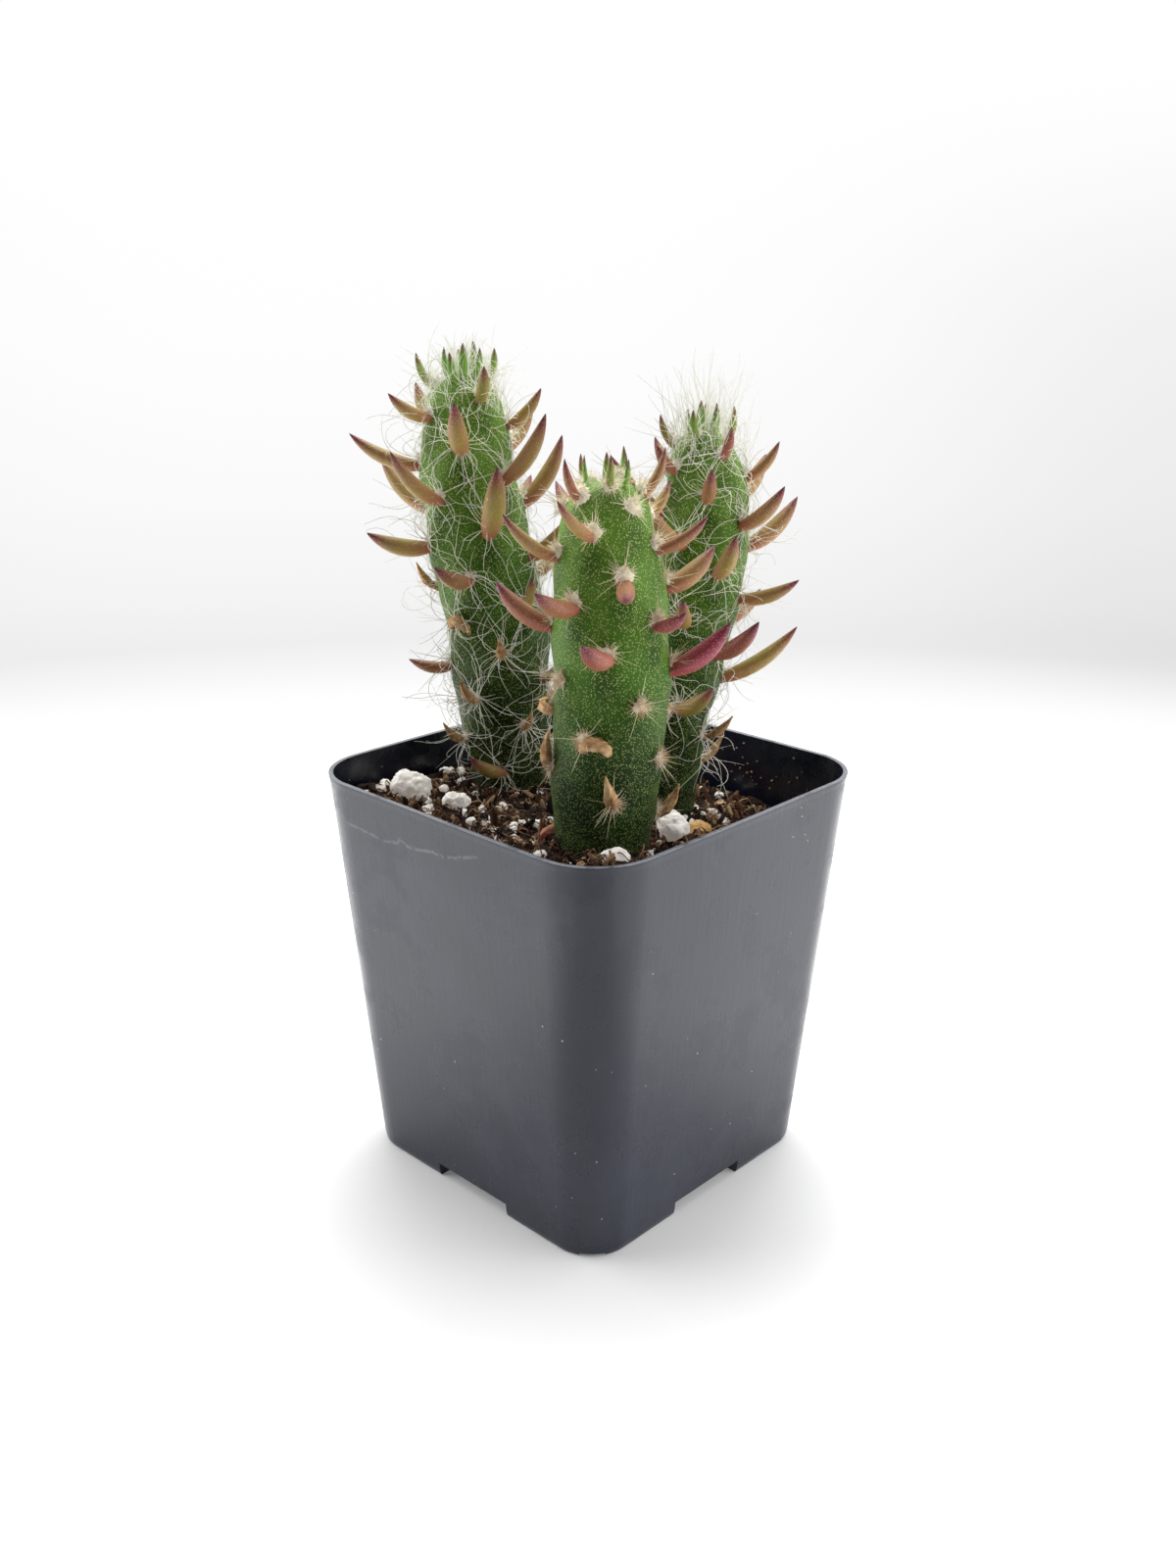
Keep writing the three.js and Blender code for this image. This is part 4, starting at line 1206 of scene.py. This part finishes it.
# %% One leaf and one dry leaf
def awl(name, widths, ripple=0.0, twist=0.0, curl=0.01, stretch=1.0, sides=14):
    """An awl of length 1. `curl` is the angle its body turns through."""
    shares = np.array([-0.1, 0, 0.05, 0.12, 0.22, 0.34, 0.47, 0.59, 0.7, 0.8, 0.88, 0.94, 0.98])
    around = np.linspace(0, 2 * math.pi, sides, endpoint=False)
    rings = []
    for share in shares:
        width = np.interp(share, *zip(*widths))
        x, y = np.cos(around) / 2, np.sin(around) / 2 * np.where(np.sin(around) > 0, 0.72, 1.0)
        swell = width * (1 + ripple * np.sin(5 * around + 9 * share))
        spin = twist * share
        x, y = x * math.cos(spin) - y * math.sin(spin), x * math.sin(spin) + y * math.cos(spin)
        bend = curl * share
        level, along = (1 - math.cos(bend)) / curl * stretch, math.sin(bend) / curl
        out, down = y * swell * math.cos(bend), y * swell * math.sin(bend) / stretch
        rings.append(np.column_stack([x * swell, level + out, along - down]))
    tip = [[0, (1 - math.cos(curl)) / curl * stretch, math.sin(curl) / curl]]
    points = np.vstack([*rings, tip])
    mesh = bpy.data.meshes.new(name)
    mesh.from_pydata(points.tolist(), [], pointed_faces(len(shares), sides))
    mesh.shade_smooth()
    store(mesh, "along", [*np.repeat(shares, sides), 1.0])
    store(mesh, "flank", [*np.tile(np.abs(np.cos(around)), len(shares)), 0.5])
    return new_object(name, mesh)


PLUMP = [(-0.1, 0.6), (0, 0.66), (0.05, 0.77), (0.12, 0.88), (0.22, 0.97), (0.34, 1.0)]
PLUMP += [(0.47, 0.98), (0.59, 0.9), (0.7, 0.77), (0.8, 0.59), (0.88, 0.41), (0.94, 0.24)]
PLUMP += [(0.98, 0.1)]
SPINDLE = [(-0.1, 0.4), (0.12, 0.6), (0.4, 1.0), (0.59, 0.8), (0.8, 0.42), (0.98, 0.12)]
SHRIVELLED = [(-0.1, 0.7), (0.12, 0.9), (0.34, 1.0), (0.59, 0.85), (0.8, 0.7), (0.98, 0.3)]
plump_leaf = awl("plump_leaf", PLUMP)
curled_leaf = awl("curled_leaf", SHRIVELLED, ripple=0.24, twist=1.2, curl=3.6, stretch=3.4)
dry_leaf = awl("dry_leaf", SPINDLE, ripple=0.24, twist=1.2, curl=0.7, stretch=4.2)

GREEN_LEAF = {"width": 3.3, "thickness": 3.1, "bow": 0.3}
CROWN_LEAF = {"width": 3.1, "thickness": 2.5, "bow": 0.15}
WITHERED_LEAF = {"width": 1.7, "thickness": 1.5, "bow": 0.0, "slim": 1.0}
LEAF_LENGTH, TIP_LEAF, FULL_LEAF, WITHERED_LENGTH = 11.5, 4.0, 10, 6.4
CROWN_DROP, CROWN_LEAN = 1.0, 16.0
THIN_PART, WIDE_AT = 0.2, 14.0


# %% The leaf rule
def leaf_plan(stem, number):
    """The length, lean, turn and pinkness of a leaf, as seen or by rule."""
    blush = stem.blush + 0.3 * (draw(stem.seed + 8, number) - 0.5)
    if number in stem.leaves:
        seen = stem.leaves[number]
        return (*seen, *(0, blush)[len(seen) - 2 :])
    grown = min(number / FULL_LEAF, 1)
    dry = number in stem.withered
    usual = WITHERED_LENGTH if dry else TIP_LEAF + (LEAF_LENGTH - TIP_LEAF) * grown
    length = usual * (0.88 + 0.24 * draw(stem.seed, number))
    usual_lean = 48 if not dry else 60 if number not in stem.curled else 35
    lean = 10 + (usual_lean - 10) * grown + 10 * draw(stem.seed + 1, number)
    return length, lean, 16 * (draw(stem.seed + 2, number) - 0.5), blush


def square_to(axis, vector):
    return unit(vector - axis * (axis @ vector))


def leaf_row(base, heading, face, length, shape, wide=1.0, hidden=0.0, **more):
    """One leaf's place and size. Its foot reaches down by `hidden` to the settled flesh."""
    slim = wide * shape.get("slim", min(1, THIN_PART + length / WIDE_AT))
    whole = length + hidden
    size = np.array([shape["width"] * slim, shape["thickness"] * slim, whole]) * MM
    bow = shape["bow"] * whole * MM
    base = base - UP * hidden
    return {"base": base, "heading": heading, "face": face, "size": size, "bow": bow, **more}


def crown_leaves(stem):
    for number in range(stem.crown):
        share = (number + 0.5) / stem.crown
        angle = math.radians(GOLDEN_ANGLE * (number + 1) + 360 * draw(stem.seed + 6, 0))
        outward = np.array([math.cos(angle), math.sin(angle), 0])
        height = stem.full_top - CROWN_DROP * (0.3 + share)
        sunk = stem.sunk(height)
        middle, radius, _ = stem.section(height - sunk)
        middle[2] = height
        lean = math.radians(CROWN_LEAN * share)
        heading = UP * math.cos(lean) + outward * math.sin(lean)
        length = stem.crown_leaf * (0.8 + 0.4 * draw(stem.seed + 7, number))
        face = square_to(heading, -outward)
        base = middle + outward * radius * 0.8
        young = {"hidden": sunk, "youth": 1.0, "blush": 0.1}
        yield leaf_row(base, heading, face, length, CROWN_LEAF, **young)


def side_leaves(stem, dry, curled=False):
    for number, angle, outward in zip(stem.numbers, stem.angles, stem.outward):
        if number in stem.fallen or (number in stem.withered) != dry:
            continue
        if dry and (number in stem.curled) != curled:
            continue
        hidden = stem.areole_drop[number]
        base = stem.points[number] + UP * hidden
        length, lean, turn, blush = leaf_plan(stem, int(number))
        toward = angle + math.radians(turn)
        level = np.array([math.cos(toward), math.sin(toward), 0])
        heading = UP * math.cos(math.radians(lean)) + level * math.sin(math.radians(lean))
        face = square_to(heading, np.cross(UP, outward) if curled else UP - outward)
        shape = WITHERED_LEAF if dry else GREEN_LEAF
        youth = float(1 - smoothstep(number, 0, 3.5)) * 0.8
        wide = stem.leaf_width * (0.9 + 0.2 * draw(stem.seed + 3, int(number)))
        wide *= 1 + stem.plumping * float(smoothstep(number, 12, 15))
        facts = {"hidden": hidden, "youth": youth, "blush": blush, "wide": wide}
        yield leaf_row(base, heading, face, length, shape, **facts)


def leaf_piece(name, rows, shape, finish):
    columns = {label: [row[label] for row in rows] for label in rows[0]}
    spots = mesh_piece(name + "_spots", columns.pop("base"), **columns)
    set_on_points(name, spots, shape, finish, "cactus_flesh")


# %% [markdown]
# Sun turns the leaves from green through olive to pink and crimson, and the tip is always the
# darkest. Three ramps run along the leaf, and two attributes blend them: how young the leaf is,
# and how pink.

# %% Leaf colours
leaf = Finish("leaf_flesh", Roughness=0.46, Specular_IOR_Level=0.45)
along = leaf.attribute("along")
olive = leaf.ramp(
    along,
    (0.0, 188, 118, 88), (0.14, 184, 148, 84), (0.4, 178, 162, 76), (0.68, 168, 148, 76),
    (0.87, 146, 84, 66), (1.0, 84, 30, 50),
)
edged = leaf.ramp(
    along,
    (0.0, 184, 100, 84), (0.22, 180, 120, 86), (0.5, 168, 130, 80), (0.78, 154, 110, 78),
    (0.9, 124, 56, 62), (1.0, 78, 26, 48),
)
rosy = leaf.ramp(
    along,
    (0.0, 176, 80, 80), (0.3, 164, 68, 80), (0.7, 146, 48, 72), (1.0, 86, 24, 48),
)
fresh = leaf.ramp(
    along,
    (0.0, 142, 190, 82), (0.6, 112, 168, 56), (0.85, 112, 106, 62), (1.0, 120, 42, 68),
)
flank = leaf.attribute("flank")
olive = leaf.blend(flank * flank * 0.6, olive, edged)
flesh = leaf.blend(leaf.attribute("blush"), olive, rosy)
flesh = leaf.blend(leaf.attribute("youth"), flesh, fresh)
stain = leaf.step(leaf.noise(300.0, 3.0, 0.6), 0.45, 0.8)
flesh = leaf.blend(stain * 0.3, flesh, tint(146, 86, 66))
dots = leaf.step(leaf.cells(2900.0), 0.35, 0.15)
leaf.feed("Base Color", leaf.blend(dots * 0.4, flesh, tint(226, 198, 172)))
leaf.relief(dots * 0.3 + leaf.noise(600.0, 3.0), 0.07)

straw = Finish("dry_leaf_straw", Roughness=0.8, Specular_IOR_Level=0.3)
husk = straw.noise(800.0, 4.0, 0.6)
straw_tones = [(0.3, 134, 90, 58), (0.5, 198, 154, 108), (0.72, 232, 206, 162)]
straw.feed("Base Color", straw.ramp(husk, *straw_tones))
straw.relief(husk, 0.2)

for name, stem in stems.items():
    living = list(crown_leaves(stem)) + list(side_leaves(stem, dry=False))
    leaf_piece(f"stem_{name}_leaves", living, plump_leaf, leaf)
    straight = list(side_leaves(stem, dry=True))
    leaf_piece(f"stem_{name}_dry_leaves", straight, dry_leaf, straw)
    curls = list(side_leaves(stem, dry=True, curled=True))
    leaf_piece(f"stem_{name}_curled_leaves", curls, curled_leaf, straw)

FALLEN_X, FALLEN_Y, FALLEN_LENGTH = 8.7, -18.8, 6.0
FALLEN_LEAF = {"width": 2.0, "thickness": 1.6, "bow": 0.0, "slim": 1.0}
fallen_at = np.array([FALLEN_X, FALLEN_Y, soil_height(FALLEN_X, FALLEN_Y) + 1.0])
fallen_way = unit(np.array([0.3, 0.25, 1.0]))
face_up = square_to(fallen_way, ACROSS_VIEW)
tones = {"youth": 0.0, "blush": 0.6}
lying = leaf_row(fallen_at, fallen_way, face_up, FALLEN_LENGTH, FALLEN_LEAF, **tones)
leaf_piece("fallen_leaf", [lying], curled_leaf, leaf)

# %% [markdown]
# ### Wool, bristles and hairs
#
# Over each leaf sits a cushion of short wool. On the middle stem it is thick and cream, with a
# few stiff bristles. On the other two it is small, and long white hairs grow from it, wave about
# and lie over the skin. Each hair is a wandering line with a thin round body.

# %% Wool, hair and bristle finishes
# Painted light: wool and hair glow a little, though they are no lamp.
FLUFF_GLOW = 0.08  # stands for the light that passes through fine fibres


def wool_finish(name, dark, light, aged):
    made = Finish(name, Roughness=0.85, Specular_IOR_Level=0.15)
    fluff = made.noise(1700.0, 3.0, 0.6)
    colour = made.blend(made.step(fluff, 0.3, 0.7), tint(*dark), tint(*light))
    old = made.attribute("wear") * made.step(made.noise(700.0, 2.0), 0.35, 0.6)
    made.feed("Base Color", made.blend(old, colour, tint(*aged)))
    made.glow(tint(*light), FLUFF_GLOW)
    made.relief(fluff, 0.15)
    return made


wool_white = wool_finish("white_wool", (222, 214, 196), (252, 248, 238), (190, 160, 124))
wool_cream = wool_finish("cream_wool", (240, 226, 192), (254, 250, 236), (188, 144, 100))
hair = Finish("white_hair", Roughness=0.4, Specular_IOR_Level=0.4)
hair_tones = tint(232, 229, 212), tint(250, 248, 238)
hair.feed("Base Color", hair.blend(hair.noise(400.0), *hair_tones))
hair.glow(tint(240, 240, 224), FLUFF_GLOW)
bristle = Finish("straw_bristle", Roughness=0.45)
bristle_tones = tint(222, 200, 150), tint(250, 242, 216)
bristle.feed("Base Color", bristle.blend(bristle.noise(500.0), *bristle_tones))

# %% Wool cushions
pad_mesh = lump_shape("pad", 3, 5, (1.0, 1.0, 0.7))
pad_mesh.shade_smooth()
pad = new_object("pad", pad_mesh)
TUFT_LIFT, ROOT_DEPTH = 1.0, 1.0
HIGHEST_HAIR = 134.0
MOST_CROWN_HAIRS, CROWN_HAIR_SUPPLY, CROWN_HAIR_ZONE = 250, 2000, 7


def seats(stem):
    return stem.points + UP * TUFT_LIFT - stem.normal * ROOT_DEPTH / 2


def fan(stem, per_areole, spread, chance, upward=0.0):
    """Starting points and headings of strands that fan out of every wool cushion."""
    count = len(stem.numbers) * per_areole
    normal = np.repeat(stem.normal, per_areole, 0)
    scattered = chance.normal(size=(count, 3))
    headings = unit(normal + spread * scattered + upward * UP)
    sideways = scattered - normal * (scattered * normal).sum(1)[:, None]
    starts = np.repeat(seats(stem), per_areole, 0) + normal * 0.45
    return starts + sideways * stem.tuft * 0.28, headings


def wear(stem):
    """How old and brown each cushion is, from 0 at the tip to 1 at the foot."""
    return smoothstep(stem.numbers, 6, 26)


def wool_piece(name, stem, finish, per_areole):
    wide = [stem.tuft * (0.8 + 0.3 * draw(stem.seed + 9, int(n))) for n in stem.numbers]
    wide *= 1.1 - 0.3 * wear(stem)
    size = np.outer(wide, [1.9, 1.7, 1.7]) * MM
    face = np.array([square_to(normal, UP) for normal in stem.normal])
    flat = np.zeros(len(wide))
    facts = {"heading": stem.normal, "face": face, "size": size, "bow": flat}
    middles = seats(stem) + stem.normal * 0.3
    spots = mesh_piece(name + "_spots", middles, wear=wear(stem), **facts)
    set_on_points(name + "_pads", spots, pad, finish, "cactus_flesh")
    chance = np.random.default_rng(stem.seed)
    starts, headings = fan(stem, per_areole, 0.8, chance)
    lengths = stem.tuft * chance.uniform(0.7, 1.35, len(starts))
    lines = wander(starts, headings, lengths, 3, chance, curl=0.5)
    aged = np.repeat(wear(stem), per_areole)
    strands(name, lines, finish, "cactus_flesh", 0.12, 0.3, wear=aged)


wool_piece("stem_left_wool", left, wool_white, 30)
wool_piece("stem_centre_wool", centre, wool_cream, 130)
wool_piece("stem_right_wool", right_stem, wool_white, 30)

# %% [markdown]
# Bristles are straight and stiff. Long hairs leave a cushion in every direction, curve in wide
# arcs, and mostly lie along the skin. A few stand out from it, and the newest rise above the
# crown. So most paths are drawn back to the stem when they stray, and some are let go.

# %% Bristles
chance = np.random.default_rng(5)
starts, headings = fan(centre, 13, 1.0, chance, 0.05)
lengths = chance.uniform(2.0, 5.2, len(starts))
lines = wander(starts, headings, lengths, 3, chance, 0.03, 0.0, centre.guide)
strands("stem_centre_bristles", lines, bristle, "cactus_flesh", 0.13, 0.25)


# %% Long hairs
def combed(stem, fans, curl, droop, cling, lengths, steps, chance):
    starts, headings = fans
    held = chance.uniform(0, 1, (len(starts), 1)) < 0.7
    guide = functools.partial(stem.guide, cling=np.where(held, cling, 0.0))
    return wander(starts, headings, lengths, steps, chance, curl, droop, guide)


for name, stem in (("left", left), ("right", right_stem)):
    chance = np.random.default_rng(stem.seed + 2)
    fans = fan(stem, stem.hairs, 1.3, chance)
    lengths = stem.hair_length * chance.uniform(0.4, 1.5, len(fans[0]))
    lines = combed(stem, fans, 0.3, 0.015, 0.35, lengths, 13, chance)
    strands(f"stem_{name}_hairs", lines, hair, "cactus_flesh", 0.125, 0.5)

    fans = fan(stem, 5, 0.8, chance, 0.2)
    lengths = chance.uniform(3.0, 9.0, len(fans[0]))
    lines = combed(stem, fans, 0.08, 0.0, 0.0, lengths, 5, chance)
    strands(f"stem_{name}_spines", lines, hair, "cactus_flesh", 0.085, 0.3)

    count = int(min(MOST_CROWN_HAIRS, CROWN_HAIR_SUPPLY / stem.crown_hair))
    angle = chance.uniform(0, 2 * math.pi, count)
    height = stem.top - CROWN_HAIR_ZONE * chance.uniform(0, 1, count) ** 2
    middle, radius, _ = stem.section(height)
    level = level_ways(angle)
    starts = middle + level * radius[:, None]
    headings = UP + level * chance.uniform(-0.1, 0.5, count)[:, None]
    lengths = chance.uniform(3, stem.crown_hair, count)
    lines = wander(starts, headings, lengths, 8, chance, 0.16, 0.0, stem.guide)
    lines[..., 2] = np.minimum(lines[..., 2], HIGHEST_HAIR)
    strands(f"stem_{name}_crown_hairs", lines, hair, "cactus_flesh", 0.11, 0.35)

for unused in (plump_leaf, dry_leaf, curled_leaf, pad):
    bpy.data.objects.remove(unused)

# %% [markdown]
